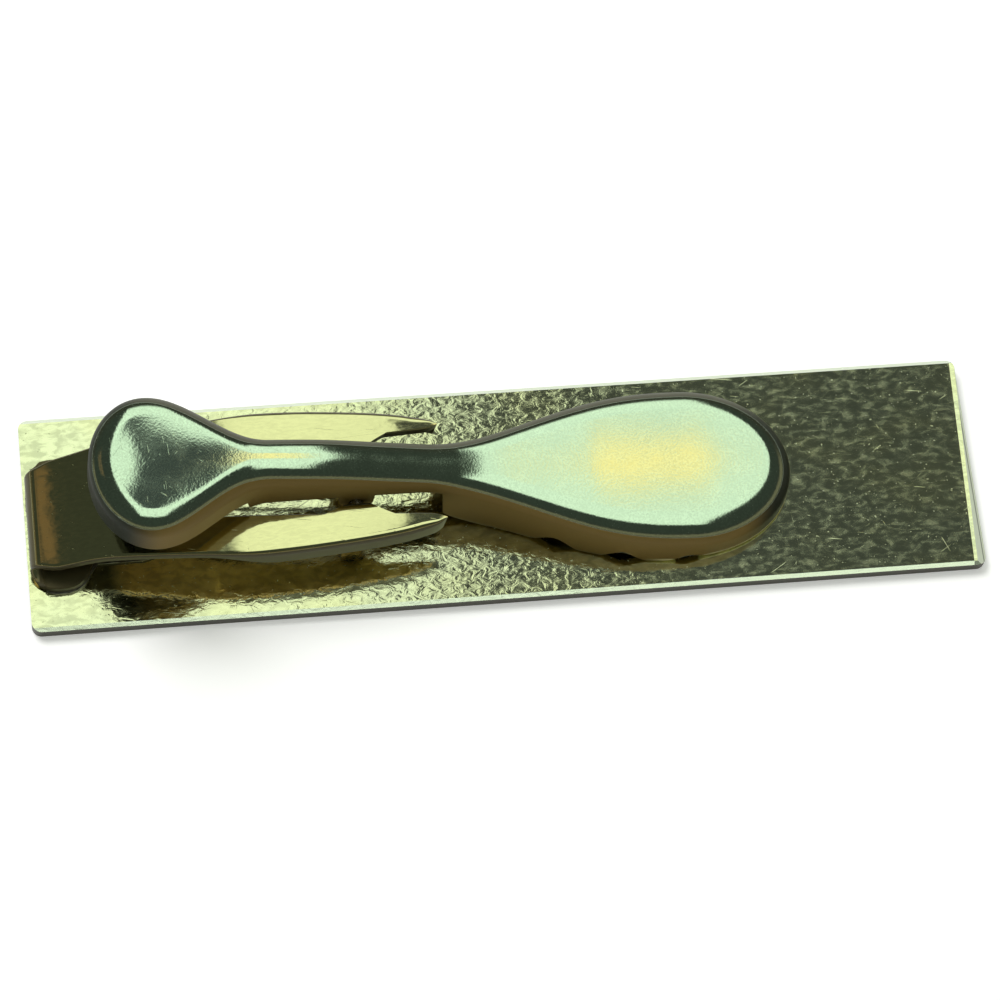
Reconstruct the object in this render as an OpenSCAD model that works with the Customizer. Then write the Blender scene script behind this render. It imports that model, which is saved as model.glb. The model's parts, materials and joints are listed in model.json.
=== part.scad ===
// Spring-jaw tie clip, lying on the face of its bar so that its back is up.
// A bent fork is soldered to the bar. A hollow stamped lever, with a thumb pad at one end
// and a toothed jaw at the other, turns on a pin between the fork's ears, and a coil spring
// on the pin holds the jaw shut. X runs along the bar towards the jaw, and Z is up.

/* [Bar] */
// Length of the bar
bar_l = 57.15; // [52:0.05:70]
// Width of the bar
bar_w = 13.6; // [11:0.1:18]
// Thickness of the bar
bar_t = 0.8; // [0.6:0.05:1.4]
// Radius of the bar's corners in plan
bar_corner_r = 0.6; // [0.3:0.1:1.5]
// Width of the bevel along the back's long edges
bar_bevel_w = 0.24; // [0.1:0.01:0.4]
// Depth of that bevel at the bar's sides
bar_bevel_drop = 0.1; // [0.04:0.01:0.2]
// Widest part of the hand-filed bevel on the end behind the jaw
end_bevel_w = 0.6; // [0.2:0.05:0.9]
// Depth of that bevel at the end face
end_bevel_drop = 0.25; // [0.1:0.05:0.4]

/* [Fork] */
// Thickness of the fork's strip
strip_t = 0.6; // [0.4:0.05:0.7]
// Distance from the bar's end to the outside of the bend
bend_inset = 0.15; // [0.1:0.05:2]
// Outside radius of the bend
bend_r = 0.95; // [0.85:0.05:1.2]
// Angle at which the leg leaves the bend
leg_angle = 17; // [10:1:22]
// Height of the prongs' tops above the bar's back
fork_h = 4.1; // [3.6:0.05:4.6]
// Length from the outside of the bend to the prongs' tips
fork_l = 24.4; // [23.4:0.1:26]
// Width over both prongs
fork_w = 9.1; // [8.4:0.1:11]
// Width of the slot behind its rounded end
slot_w = 3.8; // [3.5:0.1:4.2]
// Width of the slot at the prongs' tips
slot_mouth_w = 5.5; // [4.8:0.1:5.6]
// Distance from the bend's outside to the slot's rounded end
slot_start = 8.8; // [8:0.1:9.5]
// How far the prongs' turned-down edges hang below the strip
edge_drop = 0.9; // [0.2:0.05:1.1]
// Wall of the turned-down edges
edge_wall = 0.5; // [0.3:0.05:0.6]
// Radius of the prongs' upper edges
edge_r = 0.45; // [0.2:0.05:0.5]
// How far the prongs' tips dip
tip_dip = 0.25; // [0:0.05:0.6]
// How far the slot's edges turn outwards at the prongs' tips
tip_turn = 0.25; // [0:0.05:0.4]
// Length of that turn
tip_turn_l = 1; // [0.5:0.1:2]

/* [Foot] */
// Width of the foot's soldered pad
foot_w = 8.3; // [7.5:0.1:10]
// Distance from the bend's outside to the pad's middle
foot_mid = 1.8; // [1.6:0.1:2.1]
// Reach of the pad towards the bend, along the strip
foot_front = 2.9; // [2:0.1:3]
// Reach of the pad towards the jaw
foot_back = 2.2; // [1.8:0.05:3]
// How far the foot lies off the bar's middle line
foot_skew = 0.3; // [0:0.05:0.5]
// Width of the tongue behind the pad
tongue_w = 4.8; // [3:0.1:6]
// Distance from the bend's outside to the tongue's end
tongue_reach = 8.8; // [7:0.1:10]
// Thickness of the solder under the foot
solder_t = 0.06; // [0.03:0.01:0.1]
// Width of the solder that shows around the foot
solder_rim = 0.1; // [0.05:0.05:0.3]

/* [Pivot] */
// Distance from the bend's outside to the pin
pivot_reach = 19.2; // [18.2:0.1:20]
// Depth of the pin's axis below the prongs' tops
pivot_depth = 0.6; // [0.45:0.05:0.9]
// Radius of the pin
pin_r = 0.4; // [0.3:0.01:0.45]
// Radial running clearance of the lever on the pin
pin_clearance = 0.03; // [0.01:0.01:0.08]
// Distance between the ears' inner faces
ear_gap = 3.4; // [3.3:0.05:3.7]
// Thickness of an ear, where the prong's inner edge turns down to hold the pin
ear_t = 0.5; // [0.35:0.05:0.6]
// Width of an ear along the bar, where it turns down
ear_turn_l = 1.45; // [1.2:0.05:1.9]
// How far an ear's top lies below the prongs' tops
ear_sink = 0.06; // [0.05:0.01:0.1]
// Length over which an ear widens to the prong towards the bend
ear_back_run = 2.2; // [1:0.1:2.6]
// Length over which it widens towards the tips
ear_front_run = 1.5; // [0.8:0.1:1.8]

/* [Lever] */
// Thickness of the lever's sheet
sheet_t = 0.42; // [0.3:0.02:0.5]
// Length of the lever
lever_l = 42; // [40:0.05:44]
// Distance from the thumb end to the pin
thumb_reach = 15.55; // [15:0.05:17]
// Height of the thumb end's top above the bar's back
lever_h = 9.2; // [8.6:0.1:10.5]
// Width of the thumb pad
pad_w = 8.8; // [7:0.1:11]
// Length of the pad's rounded end
pad_round = 3.6; // [2.5:0.1:4.5]
// Length over which the pad narrows to the neck
pad_taper = 6.9; // [5:0.1:7]
// Height of the pad's side, from its rim to its top
pad_side = 2.8; // [2.2:0.1:3]
// Width of the neck
neck_w = 2.95; // [2.6:0.05:3.1]
// Width of the jaw
jaw_w = 10; // [8:0.1:11]
// Length of the jaw's rounded toe
toe_round = 6.4; // [4:0.1:8]
// Length over which the jaw narrows to the neck
jaw_taper = 16; // [13:0.1:17]
// How fully the jaw's sides swell, where 1 is an even wave
jaw_swell = 1.2; // [1:0.05:1.4]
// Width of the rounded shoulder round the lever's top
shoulder_w = 1.5; // [0.8:0.05:1.8]
// Height of that shoulder
shoulder_h = 1.3; // [0.8:0.05:1.3]
// How far the jaw's skirt spreads outwards at its teeth
jaw_flare = 0.25; // [0:0.05:0.6]
// How far it spreads round the toe
toe_flare = 0.05; // [0:0.05:0.4]
// How far the pad's skirt spreads outwards at its rim
pad_flare = 0.05; // [0:0.05:0.3]
// Height of the neck's rim above the prongs' tops
neck_rim = 0.15; // [0:0.05:0.4]
// Radius of the lug round the pin
lug_r = 1; // [0.75:0.05:1.1]
// Distance from the pin to where the pad's side begins
pad_side_reach = 6.3; // [5:0.1:7]
// Distance from the pin to where the jaw's skirt begins
jaw_side_reach = 5.05; // [4.5:0.05:5.5]

/* [Teeth] */
// Number of notches in each side of the jaw's rim
notches = 3; // [1:1:3]
// Distance from one notch to the next
tooth_pitch = 3.95; // [3.4:0.05:4.2]
// Depth of a notch
notch_depth = 0.85; // [0.3:0.05:1]
// Width of a notch
notch_w = 3; // [2:0.1:3.2]
// Distance from the pin to the first notch
first_notch = 11.8; // [11:0.1:12.5]
// Gap between the closed jaw and the bar
jaw_gap = 0.08; // [0.05:0.01:0.3]

/* [Spring] */
// Diameter of the spring's wire
wire_d = 0.25; // [0.2:0.01:0.28]
// Full turns between the spring's two legs
spring_turns = 2; // [1:1:2]
// Distance from one turn to the next
spring_pitch = 0.66; // [0.5:0.01:0.68]
// Clearance between the pin and the coil
spring_clearance = 0.14; // [0.08:0.01:0.25]
// Distance from the pin to the end of the leg under the lever
lever_leg_reach = 5.2; // [4:0.1:6]

/* [Hidden] */
$fn = 48;

// One overrun for every cut
overrun = 0.5;
// Gap left where the spring's legs press, so that bodies stay clear of each other
leg_gap = 0.03;

// Counts of stations along the fork's strip and round the lever's outline
foot_steps = 18;
bend_steps = 12;
leg_steps = 38;
toe_steps = 8;
jaw_steps = 30;
throat_steps = 6;
lug_steps = 8;
neck_steps = 8;
pad_steps = 9;
thumb_steps = 7;

// Places along the bar and up from it
back_z = bar_t;
bend_x = -bar_l / 2 + bend_inset;
bend_mid = [bend_x + bend_r, back_z + solder_t + bend_r];
fork_top = back_z + fork_h;
tip_x = bend_x + fork_l;
slot_x = bend_x + slot_start;
pivot = [bend_x + pivot_reach, fork_top - pivot_depth];
thumb_x = pivot[0] - thumb_reach;
toe_x = thumb_x + lever_l;
pad_mid = thumb_x + pad_round;
jaw_mid = toe_x - toe_round;
bore_r = pin_r + pin_clearance;
pin_half = ear_gap / 2 + ear_t;

function clamp(v, low, high) = max(low, min(high, v));
function mix(a, b, share) = a + (b - a) * share;
function ease(v) = let (u = clamp(v, 0, 1)) u * u * (3 - 2 * u);

// Smooth curve through a table of [place, value]
function slope_at(table, i) =
    i == 0 || i == len(table) - 1
        ? let (a = max(i - 1, 0), b = min(i + 1, len(table) - 1))
          (table[b][1] - table[a][1]) / (table[b][0] - table[a][0])
        : (table[i + 1][1] - table[i - 1][1]) / (table[i + 1][0] - table[i - 1][0]);
function piece_at(table, u, i = 0) =
    i >= len(table) - 2 || u < table[i + 1][0] ? i : piece_at(table, u, i + 1);
function curve(table, u) =
    let (
        place = clamp(u, table[0][0], table[len(table) - 1][0]),
        i = piece_at(table, place),
        a = table[i],
        b = table[i + 1],
        span = b[0] - a[0],
        t = (place - a[0]) / span
    )
    a[1] * (1 + 2 * t) * (1 - t) * (1 - t)
    + b[1] * (3 - 2 * t) * t * t
    + slope_at(table, i) * span * t * (1 - t) * (1 - t)
    - slope_at(table, i + 1) * span * t * t * (1 - t);

// Triangles of the strip between two rows of a mesh, numbered by the row and the place in it
function quad(a, b, c, d) = [[a, b, c], [a, c, d]];

// Bar: a flat strip with small corner radii, whose back has beveled long edges

module bar_outline() {
    straight_w = bar_w - 2 * bar_corner_r;
    straight_l = bar_l - 2 * bar_corner_r;
    square([bar_l, straight_w], center = true);
    square([straight_l, bar_w], center = true);
    for (x = [-1, 1], y = [-1, 1])
        translate([x * straight_l / 2, y * straight_w / 2])
            circle(bar_corner_r);
}

module edge_bevel() {
    translate([0, bar_w / 2, bar_t])
        rotate([90, 0, 90])
            linear_extrude(bar_l + 2 * overrun, center = true)
                polygon([
                    [-bar_bevel_w, 0], [0, -bar_bevel_drop],
                    [overrun, -bar_bevel_drop], [overrun, overrun], [-bar_bevel_w, overrun]
                ]);
}

module front_bar() {
    color("darkkhaki")
        difference() {
            linear_extrude(bar_t) bar_outline();
            edge_bevel();
            mirror([0, 1, 0]) edge_bevel();
            end_bevel();
        }
}

// The filed bevel tapers to nothing at the far corner
module end_bevel() {
    filed_angle = atan(end_bevel_w / bar_w);
    translate([bar_l / 2, bar_w / 2, bar_t])
        rotate([0, 0, -filed_angle])
            rotate([0, atan(end_bevel_drop / end_bevel_w), 0])
                translate([-end_bevel_w, -bar_w - 2 * overrun, 0])
                    cube([2 * end_bevel_w + overrun, bar_w + 3 * overrun, bar_t]);
}

// Fork: one strip that runs from its soldered foot round a bend and up a leg into two prongs.
// Each station is [outer face point, outward normal, half width, slot half width,
// depth of the turned-down edge, radius of the upper edge, sideways shift].

// Half width of the leg and prongs, in shares of the fork's length and half width
prong_width_shares = [
    [0, 0.735], [0.05, 0.765], [0.12, 0.78], [0.35, 0.9], [0.52, 0.995], [0.62, 0.99], [0.72, 0.955],
    [0.82, 0.905], [0.9, 0.845], [0.95, 0.785], [0.98, 0.735], [1, 0.665]
];
// Waist of the strip on the bend, as a share of the fork's width
waist_share = 0.65;
// Power of the round that the foot's pad has in plan
pad_power = 2.5;

bend_end = 90 + leg_angle;
leg_start = [bend_mid[0] + bend_r * cos(bend_end), bend_mid[1] + bend_r * sin(bend_end)];
leg_run = pivot[0] - leg_start[0];
leg_power = tan(leg_angle) * leg_run / (fork_top - leg_start[1]);
dip_run = tip_x - pivot[0];
drop_start = slot_x + slot_w / 2 - edge_r;
drop_run = slot_w + edge_r;

function fork_z(x) =
    let (u = clamp((x - leg_start[0]) / leg_run, 0, 1), v = max((x - pivot[0]) / dip_run, 0))
    mix(fork_top, leg_start[1], pow(1 - u, leg_power)) - tip_dip * v * v;

function fork_normal(x) =
    let (step = strip_t / 4, rise = (fork_z(x + step) - fork_z(x - step)) / (2 * step))
    [-rise, 1] / norm([-rise, 1]);

function prong_half(x) =
    fork_w / 2 * curve(prong_width_shares, (x - leg_start[0]) / (tip_x - leg_start[0]));

// The slot has a round end, widens evenly to its mouth and turns outwards at the tips
function slot_half(x, start) =
    let (along = x - start, r = slot_w / 2)
    along <= 0 ? 0
    : along < r ? sqrt(r * r - (r - along) * (r - along))
    : mix(r, slot_mouth_w / 2, (along - r) / (tip_x - start - r))
        + tip_turn * pow(max(1 - (tip_x - x) / tip_turn_l, 0), 2);

// Width of the foot's pad at a distance along the strip from its middle
function foot_half(along, reach) =
    let (u = min(abs(along) / reach, 1)) foot_w / 2 * pow(1 - pow(u, pad_power), 1 / pad_power);

function tongue_half(x) =
    let (from_end = bend_x + tongue_reach - x, r = tongue_w / 2)
    from_end < r ? sqrt(r * r - (r - from_end) * (r - from_end)) : r;

foot_stations = [
    for (i = [0 : foot_steps - 1])
        let (
            x = mix(bend_x + tongue_reach - strip_t / 6, bend_mid[0], i / foot_steps),
            along = bend_x + foot_mid - x
        )
        [
            [x, back_z + solder_t], [0, -1],
            max(foot_half(along, along > 0 ? foot_front : foot_back), tongue_half(x)),
            0, 0, strip_t / 8, -foot_skew
        ]
];

bend_stations = [
    for (i = [0 : bend_steps - 1])
        let (
            turned = (180 - leg_angle) * i / bend_steps,
            a = 270 - turned,
            along = bend_r * turned * PI / 180 + foot_mid - bend_r,
            waist = fork_w / 2 * mix(waist_share, prong_width_shares[0][1], i / bend_steps)
        )
        [
            bend_mid + bend_r * [cos(a), sin(a)], [cos(a), sin(a)],
            max(foot_half(along, foot_front), waist),
            0, 0, mix(strip_t / 8, edge_r / 2, i / bend_steps), -foot_skew
        ]
];

// Stations crowd towards the tips, where the prongs round off
crowding_power = 1.4;
leg_places = [
    for (i = [0 : leg_steps])
        mix(leg_start[0], tip_x, 1 - pow(1 - i / leg_steps, crowding_power))
];
slot_place = min([for (x = leg_places) if (x >= slot_x) x]);

leg_stations = [
    for (x = leg_places)
        let (
            half = prong_half(x),
            slot = slot_half(x, slot_place),
            grown = ease((x - drop_start) / drop_run)
        )
        [
            [x, fork_z(x)], fork_normal(x), half, slot,
            edge_drop * grown, mix(edge_r / 2, edge_r, grown),
            -foot_skew * (1 - ease((x - leg_start[0]) / foot_w * 2))
        ]
];

stations = concat(foot_stations, bend_stations, leg_stations);
split = foot_steps + bend_steps
    + len([for (x = leg_places) if (x < slot_place) x]);

// One side of a station's section, from the slot's upper edge out to the rim and back below.
// The sheared edge keeps a slight burr where it isn't turned down.
burr = strip_t / 40;
// Most of a narrow prong's width that its rounded edge, wall and lean may take, as shares
edge_r_share = 0.45;
wall_share = 0.4;
lean_share = 0.1;
function half_section(s) =
    let (
        half = s[2], slot = s[3], w = half - slot,
        r = min(s[5], w * edge_r_share),
        wall = min(edge_wall, w * wall_share),
        lean = min(strip_t / 4, w * lean_share),
        under = strip_t + max(s[4], burr)
    )
    [
        [slot, 0],
        for (a = [90, 60, 30, 0]) [half - r + r * cos(a), r * sin(a) - r],
        [half, -under],
        [half - wall, -under],
        [half - wall - lean, -strip_t],
        [slot, -strip_t]
    ];
section_size = len(half_section(stations[0]));

function strip_point(s, p, side) =
    let (at = s[0] + s[1] * p[1]) [at[0], side * p[0] + s[6], at[1]];

fork_points = [
    for (s = stations)
        for (side = [1, -1])
            for (p = half_section(s)) strip_point(s, p, side)
];

// Up to the slot both sides share the two points on the middle line
function fork_index(i, far, j) =
    let (shared = i <= split && (j == 0 || j == section_size - 1))
    (2 * i + (far && !shared ? 1 : 0)) * section_size + j;

fork_faces = concat(
    [for (i = [0 : len(stations) - 2], j = [0 : section_size - 2]) each
        quad(fork_index(i, false, j), fork_index(i, false, j + 1),
             fork_index(i + 1, false, j + 1), fork_index(i + 1, false, j))],
    [for (i = [0 : len(stations) - 2], j = [0 : section_size - 2]) each
        quad(fork_index(i, true, j), fork_index(i + 1, true, j),
             fork_index(i + 1, true, j + 1), fork_index(i, true, j + 1))],
    [for (i = [split : len(stations) - 2]) each
        quad(fork_index(i, false, section_size - 1), fork_index(i, false, 0),
             fork_index(i + 1, false, 0), fork_index(i + 1, false, section_size - 1))],
    [for (i = [split : len(stations) - 2]) each
        quad(fork_index(i, true, section_size - 1), fork_index(i + 1, true, section_size - 1),
             fork_index(i + 1, true, 0), fork_index(i, true, 0))],
    [[for (j = [section_size - 1 : -1 : 0]) fork_index(0, false, j)]],
    [[for (j = [0 : section_size - 1]) fork_index(0, true, j)]],
    [[for (j = [0 : section_size - 1]) fork_index(len(stations) - 1, false, j)]],
    [[for (j = [section_size - 1 : -1 : 0]) fork_index(len(stations) - 1, true, j)]]
);

// Radius of the ear's turn, as a share of its thickness
ear_turn_share = 0.8;
// Where the ear's widening slackens in plan, as shares of its run and of its thickness
slack_shares = [0.4, 0.9];

// Where an ear ends inside the prong, at a distance along the bar from the pin
function ear_root(from_pin) = slot_half(pivot[0] + from_pin, slot_place) + edge_wall / 4;

// An ear reaches in from the prong's inner edge and turns down beside the lever.
// From the side it narrows to a round end about the pin.
module ear() {
    inner = ear_gap / 2;
    root = (slot_mouth_w + edge_wall) / 2;
    turn_r = ear_t * ear_turn_share;
    round_r = ear_turn_l / 2;
    back = -round_r - ear_back_run;
    front = round_r + ear_front_run;
    slack_y = inner + ear_t * slack_shares[1];
    top = fork_top - ear_sink;
    intersection() {
        translate([pivot[0] + back, 0, 0])
            rotate([90, 0, 90])
                linear_extrude(front - back) {
                    translate([inner + turn_r, top - turn_r]) circle(turn_r);
                    translate([inner + turn_r, top - ear_t])
                        square([root - inner - turn_r, ear_t]);
                    translate([inner, pivot[1] - round_r])
                        square([ear_t, top - turn_r - pivot[1] + round_r]);
                }
        translate([pivot[0], 0, 0])
            rotate([90, 0, 0])
                linear_extrude(2 * fork_w, center = true) {
                    translate([0, pivot[1]]) circle(round_r);
                    translate([-round_r, pivot[1]]) square([2 * round_r, pivot_depth + ear_t]);
                    translate([back, top - ear_t]) square([front - back, 2 * ear_t]);
                }
        translate([pivot[0], 0, pivot[1] - ear_turn_l])
            linear_extrude(2 * ear_turn_l)
                polygon([
                    [-round_r, inner], [round_r, inner],
                    [round_r + ear_front_run * slack_shares[0], slack_y],
                    [front, ear_root(front)], [back, ear_root(back)],
                    [-round_r - ear_back_run * slack_shares[0], slack_y]
                ]);
    }
}

module pin_axis() {
    translate([pivot[0], 0, pivot[1]]) rotate([90, 0, 0]) children();
}

module clip_fork() {
    color("goldenrod")
        difference() {
            union() {
                polyhedron(fork_points, fork_faces, convexity = 8);
                ear();
                mirror([0, 1, 0]) ear();
            }
            pin_axis() cylinder(h = 2 * pin_half, r = pin_r, center = true);
        }
}

// Solder: a thin film that follows the foot's outline and shows a little round it

module solder_seam() {
    rim = [for (s = foot_stations) [s[0][0], s[2] + solder_rim]];
    front = [bend_mid[0] - solder_rim, foot_half(foot_mid - bend_r, foot_front)];
    side = concat([[rim[0][0] + solder_rim, rim[0][1]]], rim, [front]);
    last = len(side) - 1;
    color("dimgray")
        translate([0, -foot_skew, back_z])
            linear_extrude(solder_t)
                polygon(concat(side, [for (i = [last : -1 : 0]) [side[i][0], -side[i][1]]]));
}

// Pin

module pivot_pin() {
    color("silver")
        pin_axis() cylinder(h = 2 * pin_half, r = pin_r, center = true);
}

// Lever: a shell whose rings run round its outline, from the top down the outer face
// to the rim and back up the inner face.

// Heights along the lever, in shares of its length and height: the top of its shoulders
// and its middle line
edge_rise_shares = [
    [0, 0.96], [0.045, 0.93], [0.09, 0.9], [0.14, 0.874], [0.2, 0.858], [0.26, 0.832],
    [0.33, 0.78], [0.42, 0.668], [0.5, 0.569], [0.55, 0.513], [0.6, 0.472], [0.7, 0.387],
    [0.8, 0.329], [0.9, 0.289], [1, 0.248]
];
middle_rise_shares = [
    [0, 0.9], [0.045, 0.926], [0.09, 0.9185], [0.14, 0.8995], [0.2, 0.8715], [0.26, 0.834],
    [0.33, 0.776], [0.42, 0.667], [0.5, 0.567], [0.55, 0.509], [0.6, 0.467], [0.7, 0.401],
    [0.75, 0.3735], [0.8, 0.351], [0.85, 0.3315], [0.9, 0.311], [1, 0.262]
];
// Depths of the notches, the last one shallower
notch_depth_shares = [1, 1, 0.55];
// Places where the rim steps from pad to neck and from neck to jaw
pad_step = pivot[0] - pad_side_reach;
jaw_step = pivot[0] + jaw_side_reach;
step_run = sheet_t / 2;
// Stations just outside and just inside the lug, in shares of its radius
outside_share = 1.05;
inside_share = 0.999;
heel_l = notch_w;
heel_h = 2 * notch_depth;

function height_at(shares, x) = back_z + lever_h * curve(shares, (x - thumb_x) / lever_l);
function lever_top(x) = height_at(edge_rise_shares, x);
function middle_top(x) = height_at(middle_rise_shares, x);

// Half width between the pad's middle and the jaw's middle
function wave(u) = pow(cos(90 * clamp(u, 0, 1)), 2);
function lever_half(x) =
    neck_w / 2
    + (pad_w - neck_w) / 2 * wave((x - pad_mid) / pad_taper)
    + (jaw_w - neck_w) / 2 * wave(pow(clamp((jaw_mid - x) / jaw_taper, 0, 1), jaw_swell));

// How much of the pad's or the jaw's own form there is at a place: 0 on the neck
function pad_part(x) = x < pivot[0] ? wave((x - pad_mid) / pad_taper) : 0;
function jaw_part(x) = x > pivot[0] ? wave((jaw_mid - x) / jaw_taper) : 0;

function notch_rise(x) =
    sum_all([for (i = [0 : notches - 1])
        let (from_mid = abs(x - pivot[0] - first_notch - i * tooth_pitch))
        from_mid < notch_w / 2
            ? notch_depth * notch_depth_shares[i] * wave(from_mid / (notch_w / 2))
            : 0]);
function sum_all(values) = values * [for (v = values) 1];

function heel_rise(x) =
    let (u = 1 - (x - jaw_step) / heel_l) u > 0 ? heel_h * (1 - sqrt(1 - min(u * u, 1))) : 0;

function rim_z(x) =
    x > jaw_step ? back_z + jaw_gap + notch_rise(x) + heel_rise(x)
    : x < pad_step ? lever_top(x) - pad_side
    : abs(x - pivot[0]) < lug_r ? pivot[1] - sqrt(lug_r * lug_r - pow(x - pivot[0], 2))
    : min(fork_top + neck_rim, lever_top(x) - shoulder_h - sheet_t / 4);

// Stations along one side, from the toe to the thumb end
function steps(from, to, n) = [for (i = [0 : n - 1]) mix(from, to, i / n)];
lever_places = concat(
    steps(jaw_mid, jaw_step + step_run, jaw_steps),
    [jaw_step + step_run],
    steps(jaw_step, pivot[0] + lug_r * outside_share, throat_steps),
    steps(pivot[0] + lug_r * inside_share, pivot[0] - lug_r * inside_share, lug_steps),
    steps(pivot[0] - lug_r * inside_share, pad_step + step_run, neck_steps),
    [pad_step + step_run],
    steps(pad_step - step_run / 4, pad_mid, pad_steps)
);
one_side = concat(
    [for (i = [1 : toe_steps - 1])
        let (a = 90 * i / toe_steps) [jaw_mid + toe_round * cos(a), jaw_w / 2 * sin(a)]],
    [for (x = lever_places) [x, lever_half(x)]],
    [for (i = [0 : thumb_steps - 1])
        let (a = 90 + 90 * i / thumb_steps) [pad_mid + pad_round * cos(a), pad_w / 2 * sin(a)]]
);
side_count = len(one_side);
outline = concat(
    [[toe_x, 0]],
    one_side,
    [[thumb_x, 0]],
    [for (i = [side_count - 1 : -1 : 0]) [one_side[i][0], -one_side[i][1]]]
);
ring_size = len(outline);

normals = [
    for (i = [0 : ring_size - 1])
        let (d = outline[(i + 1) % ring_size] - outline[(i + ring_size - 1) % ring_size])
        [d[1], -d[0]] / norm(d)
];
spine = [for (p = outline) [clamp(p[0], pad_mid, jaw_mid), 0]];

// How far the skirt's rim stands out from the shoulder
function flare_at(x) =
    mix(jaw_flare, toe_flare, ease((x - jaw_mid) / notch_w + 1 / 2)) * jaw_part(x)
    + pad_flare * pad_part(x);
// Height of the top at a place, which swells from the outline to the middle line
function crowned(x, from_edge) =
    mix(lever_top(x), middle_top(x), 1 - (1 - from_edge) * (1 - from_edge));

// A ring of the skirt, at a share of the way from the rim up to the shoulder
function skirt_ring(share, inset) = [
    for (i = [0 : ring_size - 1])
        let (
            p = outline[i],
            out = flare_at(p[0]) * (1 - share) - inset,
            q = p + normals[i] * out
        )
        [q[0], q[1], mix(rim_z(p[0]), lever_top(p[0]) - shoulder_h, share)]
];

// Most of the way to the spine that the shoulder's round may take, as a share
round_share = 0.9;

// A ring of the rounded shoulder, at an angle from its foot (0) to the top (90)
function shoulder_ring(a, inset) = [
    for (i = [0 : ring_size - 1])
        let (
            p = outline[i] - normals[i] * inset,
            to_spine = spine[i] - p,
            span = norm(to_spine),
            round_w = min(shoulder_w - inset, span * round_share),
            from_edge = round_w * (1 - cos(a)) / span,
            q = p + to_spine * from_edge,
            drop = (shoulder_h - inset) * (1 - sin(a))
        )
        [q[0], q[1], crowned(q[0], from_edge) - inset - drop]
];

// A ring on the top, at a share of the way from the shoulder to the spine
function top_ring(share, inset) = [
    for (i = [0 : ring_size - 1])
        let (
            p = outline[i] - normals[i] * inset,
            to_spine = spine[i] - p,
            span = norm(to_spine),
            round_w = min(shoulder_w - inset, span * round_share),
            from_edge = mix(round_w / span, 1, share),
            q = p + to_spine * from_edge
        )
        [q[0], q[1], crowned(q[0], from_edge) - inset]
];

// Where the rings lie on the outer face, from the top to the rim, and on the inner face
outer_top_shares = [0.85, 0.55, 0.25];
outer_shoulder_angles = [78, 56, 36, 18, 0];
skirt_shares = [0.5, 0];
inner_shoulder_angles = [0, 40, 78];
inner_top_shares = [0.4, 0.85];

lever_rings = concat(
    [for (share = outer_top_shares) top_ring(share, 0)],
    [for (a = outer_shoulder_angles) shoulder_ring(a, 0)],
    [for (share = skirt_shares) skirt_ring(share, 0)],
    [for (i = [1, 0]) skirt_ring(skirt_shares[i], sheet_t)],
    [for (a = inner_shoulder_angles) shoulder_ring(a, sheet_t)],
    [for (share = inner_top_shares) top_ring(share, sheet_t)]
);
lever_points = [for (ring = lever_rings) each ring];

function ring_quads(q) = [
    for (i = [0 : ring_size - 1]) each
        let (n = (i + 1) % ring_size, a = q * ring_size, b = a + ring_size)
        quad(a + i, a + n, b + n, b + i)
];
// Closes a ring across the spine, from the toe to the thumb end
function cap_faces(q, up) = [
    for (i = [0 : side_count]) each
        let (
            a = q * ring_size,
            near = [a + i, a + i + 1],
            far = [a + (ring_size - i) % ring_size, a + ring_size - i - 1],
            faces = i == 0 ? [[near[0], near[1], far[1]]]
                : i == side_count ? [[near[0], near[1], far[0]]]
                : quad(near[0], near[1], far[1], far[0])
        )
        [for (f = faces) up ? [f[2], f[1], f[0]] : f]
];
lever_faces = concat(
    [for (q = [0 : len(lever_rings) - 2]) each ring_quads(q)],
    cap_faces(0, true),
    cap_faces(len(lever_rings) - 1, false)
);

module jaw_lever() {
    color("cadetblue")
        difference() {
            polyhedron(lever_points, lever_faces, convexity = 10);
            pin_axis() cylinder(h = pad_w, r = bore_r, center = true);
        }
}

// Spring: one wire, with a leg under the lever, turns round the pin, and a leg to the foot.
// Its route is worked out in the plane across the pin, relative to the pin's axis.

coil_r = pin_r + spring_clearance + wire_d / 2;
wire_rings = 16;
wire_sides = 6;
lever_leg_end = [
    -lever_leg_reach,
    middle_top(pivot[0] - lever_leg_reach) - sheet_t - wire_d / 2 - leg_gap - pivot[1]
];
foot_leg_end = [
    bend_x + tongue_reach - tongue_w / 4 - pivot[0],
    back_z + solder_t + strip_t + wire_d / 2 + leg_gap - pivot[1]
];

// Angle on the coil where a line from a point outside touches it, on the given side
function touch_angle(p, side) = atan2(p[1], p[0]) + side * acos(coil_r / norm(p));

coil_from = touch_angle(lever_leg_end, -1);
coil_to = touch_angle(foot_leg_end, 1) - 360 * spring_turns;
coil_turns = (coil_from - coil_to) / 360;
coil_w = coil_turns * spring_pitch;
coil_count = ceil(coil_turns * wire_rings);

wire_route = concat(
    [[lever_leg_end[0], 0, lever_leg_end[1]]],
    [for (i = [0 : coil_count])
        let (a = mix(coil_from, coil_to, i / coil_count))
        [coil_r * cos(a), mix(-coil_w / 2, coil_w / 2, i / coil_count), coil_r * sin(a)]],
    [[foot_leg_end[0], coil_w / 2, foot_leg_end[1]]]
);
echo("least gap of the spring's wire to itself", min([
    for (i = [1 : len(wire_route) - 2], j = [1 : len(wire_route) - 2])
        if (j - i > wire_rings / 2) norm(wire_route[j] - wire_route[i]) - wire_d
]));

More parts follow.
